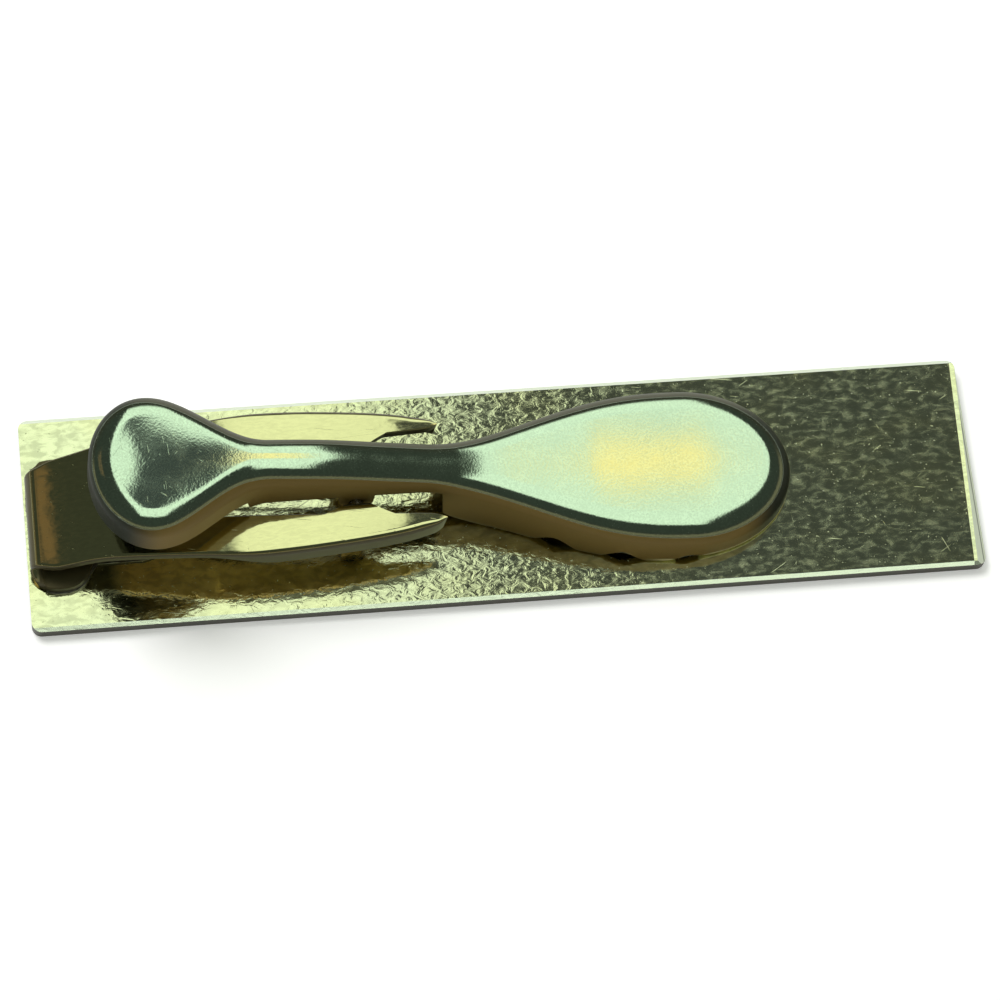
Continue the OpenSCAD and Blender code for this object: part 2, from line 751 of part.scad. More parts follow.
function unit(v) = v / norm(v);
function tube_points(route, r, sides) = [
    for (i = [0 : len(route) - 1])
        let (
            ahead = unit(route[min(i + 1, len(route) - 1)] - route[max(i - 1, 0)]),
            u = unit(cross(ahead, [0, 1, 0])),
            v = cross(ahead, u)
        )
        for (k = [0 : sides - 1])
            let (a = 360 * k / sides) route[i] + r * cos(a) * u + r * sin(a) * v
];
function tube_faces(count, sides) = concat(
    [for (i = [0 : count - 2], k = [0 : sides - 1]) each
        let (n = (k + 1) % sides, a = i * sides, b = a + sides)
        quad(a + k, b + k, b + n, a + n)],
    [[for (k = [0 : sides - 1]) k]],
    [[for (k = [sides - 1 : -1 : 0]) (count - 1) * sides + k]]
);

module torsion_spring() {
    color("silver")
        translate([pivot[0], 0, pivot[1]])
            polyhedron(
                tube_points(wire_route, wire_d / 2, wire_sides),
                tube_faces(len(wire_route), wire_sides),
                convexity = 6
            );
}

front_bar();
solder_seam();
clip_fork();
pivot_pin();
torsion_spring();
jaw_lever();
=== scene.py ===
import json
import math

import bmesh
import bpy
import numpy as np
from mathutils import Matrix, Vector


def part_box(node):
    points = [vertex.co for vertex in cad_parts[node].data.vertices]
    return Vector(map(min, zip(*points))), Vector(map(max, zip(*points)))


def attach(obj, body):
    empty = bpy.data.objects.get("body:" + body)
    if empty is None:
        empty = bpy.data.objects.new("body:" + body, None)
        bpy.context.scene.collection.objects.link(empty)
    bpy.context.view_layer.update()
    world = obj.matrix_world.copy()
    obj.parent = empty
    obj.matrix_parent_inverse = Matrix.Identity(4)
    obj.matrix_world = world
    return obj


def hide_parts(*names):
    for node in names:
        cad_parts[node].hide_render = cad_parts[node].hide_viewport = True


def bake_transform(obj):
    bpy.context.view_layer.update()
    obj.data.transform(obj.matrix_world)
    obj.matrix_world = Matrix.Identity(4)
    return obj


# Looks of the spring-jaw tie clip, built round its CAD frame. Lengths are in metres and
# angles in degrees. The bar lies along X with its back up, and the jaw points to +X.

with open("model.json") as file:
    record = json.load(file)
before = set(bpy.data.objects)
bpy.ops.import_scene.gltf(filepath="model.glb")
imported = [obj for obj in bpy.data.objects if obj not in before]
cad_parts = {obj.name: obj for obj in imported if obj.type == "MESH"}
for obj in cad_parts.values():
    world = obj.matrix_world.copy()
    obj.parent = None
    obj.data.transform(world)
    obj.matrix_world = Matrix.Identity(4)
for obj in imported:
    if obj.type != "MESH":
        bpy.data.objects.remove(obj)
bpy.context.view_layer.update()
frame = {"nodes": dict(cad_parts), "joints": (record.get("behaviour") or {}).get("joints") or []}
mm = 0.001

# The photograph's view, solved from the four corners of the bar

CAMERA_AZIMUTH = -17.29
CAMERA_ELEVATION = 66.0
CAMERA_ROLL = 11.918
CAMERA_DISTANCE = 240.154 * mm
AIM_RIGHT = -0.194 * mm
AIM_UP = -0.141 * mm
LENS = 144.0
SENSOR = 36.0


def add_camera():
    azimuth = math.radians(CAMERA_AZIMUTH)
    elevation = math.radians(CAMERA_ELEVATION)
    roll = math.radians(CAMERA_ROLL)
    back = Vector((
        math.sin(azimuth) * math.cos(elevation),
        -math.cos(azimuth) * math.cos(elevation),
        math.sin(elevation),
    ))
    level = Vector((math.cos(azimuth), math.sin(azimuth), 0))
    upright = back.cross(level)
    right = level * math.cos(roll) + upright * math.sin(roll)
    up = upright * math.cos(roll) - level * math.sin(roll)
    data = bpy.data.cameras.new("camera")
    data.lens = LENS
    data.sensor_width = SENSOR
    data.clip_start = CAMERA_DISTANCE / 10
    camera = bpy.data.objects.new("camera", data)
    place = back * CAMERA_DISTANCE + right * AIM_RIGHT + up * AIM_UP
    turn = Matrix((right, up, back)).transposed().to_4x4()
    camera.matrix_world = Matrix.Translation(place) @ turn
    bpy.context.scene.collection.objects.link(camera)
    bpy.context.scene.camera = camera


# Places from the frame

bar_low, bar_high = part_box("front_bar")
BACK_Z = bar_high.z
hinge = next(j for j in frame["joints"] if j["name"] == "jaw_hinge")
PIVOT_X, _, PIVOT_Z = hinge["pos_m"]

# Lever's sizes, which are its CAD solid's own. Only its middle line is higher, by some
# hundredths of a millimetre.

SHEET = 0.42 * mm
LEVER_LENGTH = 42 * mm
LEVER_HEIGHT = 9.2 * mm
THUMB_REACH = 15.55 * mm
PAD_WIDTH = 8.8 * mm
PAD_ROUND = 3.6 * mm
PAD_TAPER = 6.9 * mm
PAD_SIDE = 2.8 * mm
PAD_SIDE_REACH = 6.3 * mm
NECK_WIDTH = 2.95 * mm
NECK_RIM = 0.15 * mm
JAW_WIDTH = 10 * mm
JAW_TAPER = 16 * mm
JAW_SWELL = 1.2
JAW_SIDE_REACH = 5.05 * mm
TOE_ROUND = 6.4 * mm
SHOULDER_WIDTH = 1.5 * mm
SHOULDER_HEIGHT = 1.3 * mm
SHOULDER_MOST_SHARE = 0.9
JAW_FLARE = 0.25 * mm
TOE_FLARE = 0.05 * mm
PAD_FLARE = 0.05 * mm
LUG_RADIUS = 1 * mm
LUG_OUTSIDE_SHARE = 1.05
LUG_INSIDE_SHARE = 0.999
BORE_RADIUS = 0.43 * mm
NOTCHES = 3
TOOTH_PITCH = 3.95 * mm
NOTCH_DEPTH = 0.85 * mm
NOTCH_WIDTH = 3 * mm
FIRST_NOTCH = 11.8 * mm
JAW_GAP = 0.08 * mm
EDGE_ROUND = 0.09 * mm
FORK_RISE = 4.1 * mm

THUMB_X = PIVOT_X - THUMB_REACH
TOE_X = THUMB_X + LEVER_LENGTH
PAD_MID = THUMB_X + PAD_ROUND
JAW_MID = TOE_X - TOE_ROUND
PAD_STEP = PIVOT_X - PAD_SIDE_REACH
JAW_STEP = PIVOT_X + JAW_SIDE_REACH
STEP_RUN = SHEET / 2
FORK_TOP = BACK_Z + FORK_RISE

# Heights along the lever, in shares of its length and height: the top of its shoulders
# and its middle line
EDGE_RISE_SHARES = [
    (0, 0.96), (0.045, 0.93), (0.09, 0.9), (0.14, 0.874), (0.2, 0.858), (0.26, 0.832),
    (0.33, 0.78), (0.42, 0.668), (0.5, 0.569), (0.55, 0.513), (0.6, 0.472), (0.7, 0.387),
    (0.8, 0.329), (0.9, 0.289), (1, 0.248),
]
MIDDLE_RISE_SHARES = [
    (0, 0.9), (0.045, 0.926), (0.09, 0.9185), (0.14, 0.8995), (0.2, 0.8715), (0.26, 0.834),
    (0.33, 0.776), (0.42, 0.667), (0.5, 0.57), (0.55, 0.5145), (0.6, 0.4735), (0.7, 0.403),
    (0.75, 0.377), (0.8, 0.3555), (0.85, 0.3355), (0.9, 0.3135), (1, 0.262),
]
NOTCH_DEPTH_SHARES = [1, 1, 0.55]

# Where the shell's rings lie: shares of the way from its edge to its middle line, shares of
# its skirt's height, and steps in degrees round its shoulder and its rim
TOP_SHARES = (0.97, 0.9, 0.8, 0.68, 0.55, 0.42, 0.29, 0.16, 0.06)
INNER_TOP_SHARES = (0.2, 0.5, 0.8, 0.97)
SKIRT_SHARES = (0.75, 0.5, 0.25, 0.1)
INNER_SKIRT_SHARES = (0.1, 0.5)
SHOULDER_STEP = 6
INNER_SHOULDER_STEP = 15
RIM_STEP = 30


def mix(a, b, share):
    return a + (b - a) * share


def ease(v):
    u = np.clip(v, 0, 1)
    return u * u * (3 - 2 * u)


def wave(u):
    """Falls smoothly from 1 at 0 to 0 at 1."""
    return np.cos(np.pi / 2 * np.clip(u, 0, 1)) ** 2


def curve(table, u):
    """Smooth curve through a table of (place, value)."""
    places, values = (np.array(column, float) for column in zip(*table))
    slopes = np.empty(len(places))
    slopes[1:-1] = (values[2:] - values[:-2]) / (places[2:] - places[:-2])
    slopes[0] = (values[1] - values[0]) / (places[1] - places[0])
    slopes[-1] = (values[-1] - values[-2]) / (places[-1] - places[-2])
    place = np.clip(u, places[0], places[-1])
    i = np.clip(np.searchsorted(places, place, side="right") - 1, 0, len(places) - 2)
    span = places[i + 1] - places[i]
    t = (place - places[i]) / span
    return (
        values[i] * (1 + 2 * t) * (1 - t) ** 2
        + values[i + 1] * (3 - 2 * t) * t * t
        + slopes[i] * span * t * (1 - t) ** 2
        - slopes[i + 1] * span * t * t * (1 - t)
    )


# Lever: rings that follow its outline, from the top down the outer face to the rim and
# back up the inner face


def lever_top(x):
    """Height of the shoulders' top."""
    return BACK_Z + LEVER_HEIGHT * curve(EDGE_RISE_SHARES, (x - THUMB_X) / LEVER_LENGTH)


def middle_top(x):
    return BACK_Z + LEVER_HEIGHT * curve(MIDDLE_RISE_SHARES, (x - THUMB_X) / LEVER_LENGTH)


def lever_half(x):
    pad = (PAD_WIDTH - NECK_WIDTH) / 2 * wave((x - PAD_MID) / PAD_TAPER)
    swell = np.clip((JAW_MID - x) / JAW_TAPER, 0, 1) ** JAW_SWELL
    return NECK_WIDTH / 2 + pad + (JAW_WIDTH - NECK_WIDTH) / 2 * wave(swell)


def pad_part(x):
    return np.where(x < PIVOT_X, wave((x - PAD_MID) / PAD_TAPER), 0)


def jaw_part(x):
    return np.where(x > PIVOT_X, wave((JAW_MID - x) / JAW_TAPER), 0)


def notch_rise(x):
    rise = np.zeros_like(x)
    for i in range(NOTCHES):
        from_mid = np.abs(x - PIVOT_X - FIRST_NOTCH - i * TOOTH_PITCH)
        rise += NOTCH_DEPTH * NOTCH_DEPTH_SHARES[i] * wave(from_mid / (NOTCH_WIDTH / 2))
    return rise


def heel_rise(x):
    u = np.clip(1 - (x - JAW_STEP) / NOTCH_WIDTH, 0, 1)
    return 2 * NOTCH_DEPTH * (1 - np.sqrt(1 - u * u))


def rim_z(x):
    jaw = BACK_Z + JAW_GAP + notch_rise(x) + heel_rise(x)
    pad = lever_top(x) - PAD_SIDE
    neck = np.minimum(FORK_TOP + NECK_RIM, lever_top(x) - SHOULDER_HEIGHT - SHEET / 4)
    across = x - PIVOT_X
    lug = PIVOT_Z - np.sqrt(np.maximum(LUG_RADIUS**2 - across**2, 0))
    middle = np.where(np.abs(across) < LUG_RADIUS, lug, neck)
    return np.where(x > JAW_STEP, jaw, np.where(x < PAD_STEP, pad, middle))


def lever_outline():
    """Points of one side, from the toe to the thumb end, without the two end points."""
    toe = [
        (JAW_MID + TOE_ROUND * math.cos(a), JAW_WIDTH / 2 * math.sin(a))
        for a in np.radians(np.linspace(0, 90, 33)[1:-1])
    ]
    runs = [
        np.linspace(JAW_MID, JAW_STEP + STEP_RUN, 121),
        np.linspace(JAW_STEP, PIVOT_X + LUG_RADIUS * LUG_OUTSIDE_SHARE, 25),
        PIVOT_X + LUG_RADIUS * LUG_INSIDE_SHARE * np.cos(np.radians(np.linspace(0, 180, 25))),
        np.linspace(PIVOT_X - LUG_RADIUS * LUG_OUTSIDE_SHARE, PAD_STEP + STEP_RUN, 31),
        np.linspace(PAD_STEP, PAD_MID, 41),
    ]
    places = np.concatenate(runs)
    straight = list(zip(places, lever_half(places)))
    thumb = [
        (PAD_MID + PAD_ROUND * math.cos(a), PAD_WIDTH / 2 * math.sin(a))
        for a in np.radians(np.linspace(90, 180, 31)[1:-1])
    ]
    return toe + straight + thumb


class LeverRings:
    """Rings of the lever's shell, each with one point for each point of the outline."""

    def __init__(self):
        side = lever_outline()
        mirrored = [(x, -y) for x, y in reversed(side)]
        self.outline = np.array([(TOE_X, 0), *side, (THUMB_X, 0), *mirrored])
        self.side_count = len(side)
        along = np.roll(self.outline, -1, axis=0) - np.roll(self.outline, 1, axis=0)
        along /= np.linalg.norm(along, axis=1)[:, None]
        self.normals = np.column_stack([along[:, 1], -along[:, 0]])
        spine_x = np.clip(self.outline[:, 0], PAD_MID, JAW_MID)
        self.spine = np.column_stack([spine_x, np.zeros(len(spine_x))])

    def flare(self):
        x = self.outline[:, 0]
        jaw = mix(JAW_FLARE, TOE_FLARE, ease((x - JAW_MID) / NOTCH_WIDTH + 1 / 2))
        return jaw * jaw_part(x) + PAD_FLARE * pad_part(x)

    def skirt(self, share, inset):
        x = self.outline[:, 0]
        out = self.flare() * (1 - share) - inset
        flat = self.outline + self.normals * out[:, None]
        z = mix(rim_z(x), lever_top(x) - SHOULDER_HEIGHT, share)
        return np.column_stack([flat, z])

    def rim(self, angle):
        """The rounded cut edge: 0 is the outer face, 180 the inner."""
        a = math.radians(angle)
        outer, inner = self.skirt(0, EDGE_ROUND), self.skirt(0, SHEET - EDGE_ROUND)
        middle = outer if angle <= 90 else inner
        ring = middle.copy()
        ring[:, :2] += self.normals * EDGE_ROUND * math.cos(a)
        ring[:, 2] += EDGE_ROUND * (1 - math.sin(a))
        return ring

    def to_spine(self, inset):
        """Each point's way to the middle line, and how much of it the shoulder takes."""
        start = self.outline - self.normals * inset
        way = self.spine - start
        span = np.linalg.norm(way, axis=1)
        round_width = np.minimum(SHOULDER_WIDTH - inset, span * SHOULDER_MOST_SHARE)
        return start, way, span, round_width

    def crowned(self, flat, start, span, inset):
        """Height of the top at flat points, which swells from the edge to the middle line."""
        x = flat[:, 0]
        from_edge = np.linalg.norm(flat - start, axis=1) / span
        swell = 1 - (1 - from_edge) ** 2
        return mix(lever_top(x), middle_top(x), swell) - inset

    def shoulder(self, angle, inset):
        a = math.radians(angle)
        start, way, span, round_width = self.to_spine(inset)
        flat = start + way * (round_width * (1 - math.cos(a)) / span)[:, None]
        drop = (SHOULDER_HEIGHT - inset) * (1 - math.sin(a))
        return np.column_stack([flat, self.crowned(flat, start, span, inset) - drop])

    def top(self, share, inset):
        start, way, span, round_width = self.to_spine(inset)
        flat = start + way * mix(round_width / span, 1, share)[:, None]
        return np.column_stack([flat, self.crowned(flat, start, span, inset)])

    def all(self):
        return [
            *[self.top(s, 0) for s in TOP_SHARES],
            *[self.shoulder(a, 0) for a in range(90, -1, -SHOULDER_STEP)],
            *[self.skirt(s, 0) for s in SKIRT_SHARES],
            *[self.rim(a) for a in range(0, 181, RIM_STEP)],
            *[self.skirt(s, SHEET) for s in INNER_SKIRT_SHARES],
            *[self.shoulder(a, SHEET) for a in range(0, 91, INNER_SHOULDER_STEP)],
            *[self.top(s, SHEET) for s in INNER_TOP_SHARES],
        ]


def closed_loops(rings):
    """Quads between neighbouring rings, each a closed loop of points."""
    size = len(rings[0])
    faces = []
    for q in range(len(rings) - 1):
        a, b = q * size, (q + 1) * size
        for i in range(size):
            n = (i + 1) % size
            faces.append((a + i, a + n, b + n, b + i))
    return faces


def spine_cap(first, size, side_count, up):
    """Closes a ring across the spine, from the toe to the thumb end."""
    faces = []
    for i in range(side_count + 1):
        near = [first + i, first + i + 1]
        far = [first + (size - i) % size, first + size - i - 1]
        if i == 0:
            face = [near[0], near[1], far[1]]
        elif i == side_count:
            face = [near[0], near[1], far[0]]
        else:
            face = [near[0], near[1], far[1], far[0]]
        faces.append(face[::-1] if up else face)
    return faces


def add_piece(name, points, faces, body=None):
    mesh = bpy.data.meshes.new(name)
    mesh.from_pydata([tuple(p) for p in points], [], [tuple(f) for f in faces])
    mesh.validate()
    piece = bpy.data.objects.new(name, mesh)
    bpy.context.scene.collection.objects.link(piece)
    if body:
        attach(piece, body)
    return piece


def cut_or_join(piece, other, operation):
    """Applies a boolean with a helper object and deletes the helper."""
    modifier = piece.modifiers.new(operation.lower(), "BOOLEAN")
    modifier.operation = operation
    modifier.solver = "EXACT"
    modifier.object = other
    bpy.context.view_layer.update()
    shaped = piece.evaluated_get(bpy.context.evaluated_depsgraph_get())
    mesh = bpy.data.meshes.new_from_object(shaped)
    piece.modifiers.clear()
    piece.data = mesh
    bpy.data.objects.remove(other)


def cross_pin(name, radius, length, sides=48):
    """A cylinder about the pivot's axis."""
    mesh = bpy.data.meshes.new(name)
    shape = bmesh.new()
    place = Matrix.Translation((PIVOT_X, 0, PIVOT_Z)) @ Matrix.Rotation(math.pi / 2, 4, "X")
    bmesh.ops.create_cone(
        shape, cap_ends=True, segments=sides, radius1=radius, radius2=radius,
        depth=length, matrix=place,
    )
    shape.to_mesh(mesh)
    shape.free()
    helper = bpy.data.objects.new(name, mesh)
    bpy.context.scene.collection.objects.link(helper)
    return helper


def smooth(piece, angle=32):
    piece.data.shade_smooth()
    piece.data.set_sharp_from_angle(angle=math.radians(angle))


def add_lever():
    shell = LeverRings()
    rings = shell.all()
    size = len(rings[0])
    faces = closed_loops(rings)
    faces += spine_cap(0, size, shell.side_count, True)
    faces += spine_cap((len(rings) - 1) * size, size, shell.side_count, False)
    lever = add_piece("lever_shell", np.vstack(rings), faces, "lever")
    cut_or_join(lever, cross_pin("bore", BORE_RADIUS, PAD_WIDTH), "DIFFERENCE")
    smooth(lever)
    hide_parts("jaw_lever")
    return lever


# Fork: one strip from its soldered foot round the bend and up the leg into two prongs.
# Its foot, bend and tips are within 0.3 mm of its CAD solid's.

STRIP = 0.6 * mm
BEND_INSET = 0.15 * mm
BEND_RADIUS = 0.95 * mm
LEG_ANGLE = 17
FORK_LENGTH = 24.4 * mm
FORK_WIDTH = 9.1 * mm
SLOT_WIDTH = 3.8 * mm
SLOT_MOUTH = 5.5 * mm
SLOT_START = 8.8 * mm
EDGE_DROP = 0.9 * mm
EDGE_WALL = 0.5 * mm
EDGE_RADIUS = 0.45 * mm
TIP_DIP = 0.12 * mm
TIP_TURN = 0.25 * mm
TIP_TURN_LENGTH = 1 * mm
FOOT_WIDTH = 8.3 * mm
FOOT_MID = 1.8 * mm
FOOT_FRONT = 2.6 * mm
FOOT_BACK = 2.2 * mm
FOOT_SKEW = 0.3 * mm
TONGUE_WIDTH = 4.8 * mm
TONGUE_REACH = 8.8 * mm
SOLDER = 0.06 * mm
EAR_GAP = 3.4 * mm
EAR_THICKNESS = 0.5 * mm
EAR_TURN_RADIUS = EAR_THICKNESS * 0.8
EAR_TURN_LENGTH = 1.45 * mm
EAR_BACK_RUN = 2.2 * mm
EAR_FRONT_RUN = 1.5 * mm
EAR_SINK = 0.004 * mm
PIN_RADIUS = 0.4 * mm

BEND_X = bar_low.x + BEND_INSET
FOOT_Z = BACK_Z + SOLDER
BEND_MID = np.array([BEND_X + BEND_RADIUS, FOOT_Z + BEND_RADIUS])
BEND_END = math.radians(90 + LEG_ANGLE)
LEG_START = BEND_MID + BEND_RADIUS * np.array([math.cos(BEND_END), math.sin(BEND_END)])
LEG_RUN = PIVOT_X - LEG_START[0]
LEG_POWER = math.tan(math.radians(LEG_ANGLE)) * LEG_RUN / (FORK_TOP - LEG_START[1])
TIP_X = BEND_X + FORK_LENGTH
SLOT_X = BEND_X + SLOT_START

# Half width of the leg and prongs, in shares of the fork's length and half width
PRONG_WIDTH_SHARES = [
    (0, 0.7), (0.03, 0.75), (0.07, 0.765), (0.12, 0.78), (0.35, 0.9), (0.52, 0.995),
    (0.62, 0.99), (0.72, 0.955), (0.82, 0.905), (0.9, 0.845), (0.95, 0.785), (0.98, 0.735),
    (1, 0.665),
]
WAIST_SHARE = 0.59
PAD_POWER = 2.5

# Cross sections along each part of the strip, and how they crowd towards its bent end
FOOT_SECTIONS = 55
FOOT_CROWDING = 1.5
BEND_SECTIONS = 40
LEG_SECTIONS = 140
LEG_CROWDING = 1.4
EAR_CURVE = 1.35
MERGE = mm / 10**5


def fork_z(x):
    u = np.clip((x - LEG_START[0]) / LEG_RUN, 0, 1)
    dip = np.maximum((x - PIVOT_X) / (TIP_X - PIVOT_X), 0)
    return mix(FORK_TOP, LEG_START[1], (1 - u) ** LEG_POWER) - TIP_DIP * dip**5


def fork_normal(x):
    step = STRIP / 8
    rise = (fork_z(x + step) - fork_z(x - step)) / (2 * step)
    normal = np.array([-rise, 1.0])
    return normal / np.linalg.norm(normal)


def prong_half(x):
    share = (x - LEG_START[0]) / (TIP_X - LEG_START[0])
    return FORK_WIDTH / 2 * float(curve(PRONG_WIDTH_SHARES, share))


def slot_half(x, start):
    """The slot has a round end, widens to its mouth and turns outwards at the tips."""
    along, r = x - start, SLOT_WIDTH / 2
    if along <= 0:
        return 0.0
    if along < r:
        return math.sqrt(r * r - (r - along) ** 2)
    turn = TIP_TURN * max(1 - (TIP_X - x) / TIP_TURN_LENGTH, 0) ** 2
    return mix(r, SLOT_MOUTH / 2, (along - r) / (TIP_X - start - r)) + turn


def foot_half(along, reach):
    u = min(abs(along) / reach, 1)
    return FOOT_WIDTH / 2 * (1 - u**PAD_POWER) ** (1 / PAD_POWER)


def tongue_half(x):
    from_end, r = BEND_X + TONGUE_REACH - x, TONGUE_WIDTH / 2
    return math.sqrt(max(r * r - (r - from_end) ** 2, 0)) if from_end < r else r


class Station:
    """One cross section of the strip. A narrow section keeps its edges within shares of
    its width."""

    RADIUS_SHARE = 0.45
    WALL_SHARE = 0.4
    LEAN_SHARE = 0.1
    CRISP_SHARE = 0.08

    def __init__(self, point, normal, half, slot=0.0, drop=0.0, radius=STRIP / 8, shift=0.0):
        self.point, self.normal = np.array(point, float), np.array(normal, float)
        self.half, self.slot, self.drop = half, slot, drop
        self.radius, self.shift = radius, shift

    def half_section(self):
        """From the slot's upper edge over the rounded outer edge and back below."""
        width = self.half - self.slot
        r = min(self.radius, width * self.RADIUS_SHARE)
        wall = min(EDGE_WALL, width * self.WALL_SHARE)
        lean = min(STRIP / 4, width * self.LEAN_SHARE)
        under = STRIP + self.drop
        crisp = min(STRIP / 10, width * self.CRISP_SHARE)
        arc = [
            (self.half - r + r * math.cos(a), r * math.sin(a) - r)
            for a in np.radians(np.linspace(90, 0, 10))
        ]
        inner = [(self.slot + (crisp if self.slot else 0), 0)]
        inner_edge = [(self.slot, -crisp)] if self.slot else [(0, -crisp)]
        return [
            *inner_edge, *inner, *arc,
            (self.half, -under + crisp), (self.half - crisp, -under),
            (self.half - wall, -under),
            (self.half - wall - lean, -STRIP), (self.slot, -STRIP),
        ]

    def place(self, across, height, side):
        at = self.point + self.normal * height
        return at[0], side * across + self.shift, at[1]


def foot_stations():
    stations = []
    for share in np.linspace(0, 1, FOOT_SECTIONS + 1)[:-1] ** FOOT_CROWDING:
        x = mix(BEND_X + TONGUE_REACH - STRIP / 20, BEND_MID[0], share)
        along = BEND_X + FOOT_MID - x
        half = max(foot_half(along, FOOT_FRONT if along > 0 else FOOT_BACK), tongue_half(x))
        stations.append(Station((x, FOOT_Z), (0, -1), half, shift=-FOOT_SKEW))
    return stations


def bend_stations():
    stations = []
    for share in np.linspace(0, 1, BEND_SECTIONS + 1)[:-1]:
        turned = math.radians(180 - LEG_ANGLE) * share
        a = math.radians(270) - turned
        ray = np.array([math.cos(a), math.sin(a)])
        along = BEND_RADIUS * turned + FOOT_MID - BEND_RADIUS
        waist = FORK_WIDTH / 2 * mix(WAIST_SHARE, PRONG_WIDTH_SHARES[0][1], share)
        stations.append(Station(
            BEND_MID + BEND_RADIUS * ray, ray, max(foot_half(along, FOOT_FRONT), waist),
            radius=mix(STRIP / 8, EDGE_RADIUS / 2, share), shift=-FOOT_SKEW,
        ))
    return stations


def leg_stations():
    grow_start = SLOT_X + SLOT_WIDTH / 2 - EDGE_RADIUS
    grow_run = SLOT_WIDTH + EDGE_RADIUS
    shares = 1 - (1 - np.linspace(0, 1, LEG_SECTIONS + 1)) ** LEG_CROWDING
    places = [mix(LEG_START[0], TIP_X, share) for share in shares]
    start = min(x for x in places if x >= SLOT_X)
    stations = []
    for x in places:
        grown = float(ease((x - grow_start) / grow_run))
        skew = -FOOT_SKEW * (1 - float(ease((x - LEG_START[0]) / FOOT_WIDTH * 2)))
        stations.append(Station(
            (x, float(fork_z(x))), fork_normal(x), prong_half(x), slot_half(x, start),
            EDGE_DROP * grown, mix(EDGE_RADIUS / 2, EDGE_RADIUS, grown), skew,
        ))
    return stations, start


def strip_faces(stations, split, size):
    """Both halves share the points on the middle line up to the split."""
    shared = {0, 1, size - 1}

    def at(i, far, j):
        doubled = far and not (i <= split and j in shared)
        return (2 * i + (1 if doubled else 0)) * size + j

    faces = []
    for i in range(len(stations) - 1):
        for j in range(size - 1):
            if i < split and j == 0:
                continue
            faces.append((at(i, 0, j), at(i, 0, j + 1), at(i + 1, 0, j + 1), at(i + 1, 0, j)))
            faces.append((at(i, 1, j), at(i + 1, 1, j), at(i + 1, 1, j + 1), at(i, 1, j + 1)))
        if i >= split:
            last = size - 1
            faces.append((at(i, 0, last), at(i, 0, 0), at(i + 1, 0, 0), at(i + 1, 0, last)))
            faces.append((at(i, 1, last), at(i + 1, 1, last), at(i + 1, 1, 0), at(i, 1, 0)))
    end = len(stations) - 1
    faces.append([at(0, 0, j) for j in range(size - 1, 0, -1)])
    faces.append([at(0, 1, j) for j in range(1, size)])
    faces.append([at(end, 0, j) for j in range(size)])
    faces.append([at(end, 1, j) for j in range(size - 1, -1, -1)])
    return faces


def ear_stations():
    """Outer point, inner point and half width of an ear, from the prong to its round end."""
    inner = EAR_GAP / 2
    outside = inner + EAR_THICKNESS
    root = (SLOT_MOUTH + EDGE_WALL) / 2
    below = FORK_TOP - EAR_THICKNESS
    turn = EAR_TURN_RADIUS
    end = EAR_TURN_LENGTH / 2
    stations = [
        ((y, FORK_TOP), (max(y, outside), below), end)
        for y in np.linspace(root, inner + turn, 10)[:-1]
    ]
    for a in np.radians(np.linspace(90, 180, 9)):
        y = inner + turn + turn * math.cos(a)
        z = FORK_TOP - turn + turn * math.sin(a)
        stations.append(((y, z), (outside, below), end))
    for a in np.radians(np.linspace(0, 88, 12)):
        z = PIVOT_Z - end * math.sin(a)
        stations.append(((inner, z), (outside, z), end * math.cos(a)))
    return stations


def ear_reach(y, run, start):
    """How far an ear has widened along the bar at a distance from the middle line."""
    root = slot_half(PIVOT_X + run, start) + EDGE_WALL / 4
    share = np.clip((y - EAR_GAP / 2) / (root - EAR_GAP / 2), 0, 1)
    return run * share**EAR_CURVE


def ear_helper(side, start):
    """A tab that reaches in from a prong's inner edge and turns down to hold the pin."""
    shape = bmesh.new()
    rows = []
    for outer, inner, half in ear_stations():
        back = -half - ear_reach(outer[0], EAR_BACK_RUN, start)
        front = half + ear_reach(outer[0], EAR_FRONT_RUN, start)
        ring = [(outer, x) for x in np.linspace(back, front, 25)]
        ring += [(inner, front), (inner, back)]
        rows.append([
            shape.verts.new((PIVOT_X + x, side * p[0], p[1] - FORK_TOP + fork_z(PIVOT_X + x)))
            for p, x in ring
        ])
    for a, b in zip(rows, rows[1:]):
        for j in range(len(a)):
            n = (j + 1) % len(a)
            shape.faces.new((a[j], a[n], b[n], b[j]))
    shape.faces.new(rows[0][::-1])
    shape.faces.new(rows[-1])
    bmesh.ops.translate(shape, verts=shape.verts, vec=(0, 0, -EAR_SINK))
    bmesh.ops.remove_doubles(shape, verts=shape.verts, dist=MERGE * 10)
    bmesh.ops.recalc_face_normals(shape, faces=shape.faces)
    mesh = bpy.data.meshes.new("ear")
    shape.to_mesh(mesh)
    shape.free()
    helper = bpy.data.objects.new("ear", mesh)
    bpy.context.scene.collection.objects.link(helper)
    return helper


def add_fork():
    legs, start = leg_stations()
    stations = foot_stations() + bend_stations() + legs
    split = len(stations) - len(legs) + sum(s.point[0] < start for s in legs)
    size = len(stations[0].half_section())
    points = [s.place(*p, side) for s in stations for side in (1, -1) for p in s.half_section()]
    fork = add_piece("fork_strip", points, strip_faces(stations, split, size), "bar_and_fork")
    shape = bmesh.new()
    shape.from_mesh(fork.data)
    bmesh.ops.remove_doubles(shape, verts=shape.verts, dist=MERGE)
    bmesh.ops.delete(
        shape, geom=[v for v in shape.verts if not v.link_faces], context="VERTS"
    )
    shape.to_mesh(fork.data)
    shape.free()
    for side in (1, -1):
        cut_or_join(fork, ear_helper(side, start), "UNION")
    cut_or_join(fork, cross_pin("pin_hole", PIN_RADIUS, EAR_GAP + 2 * EAR_THICKNESS), "DIFFERENCE")
    smooth(fork)
    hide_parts("clip_fork")
    return fork


# Spring: one wire, with a leg under the lever, turns round the pin, and a leg to the foot

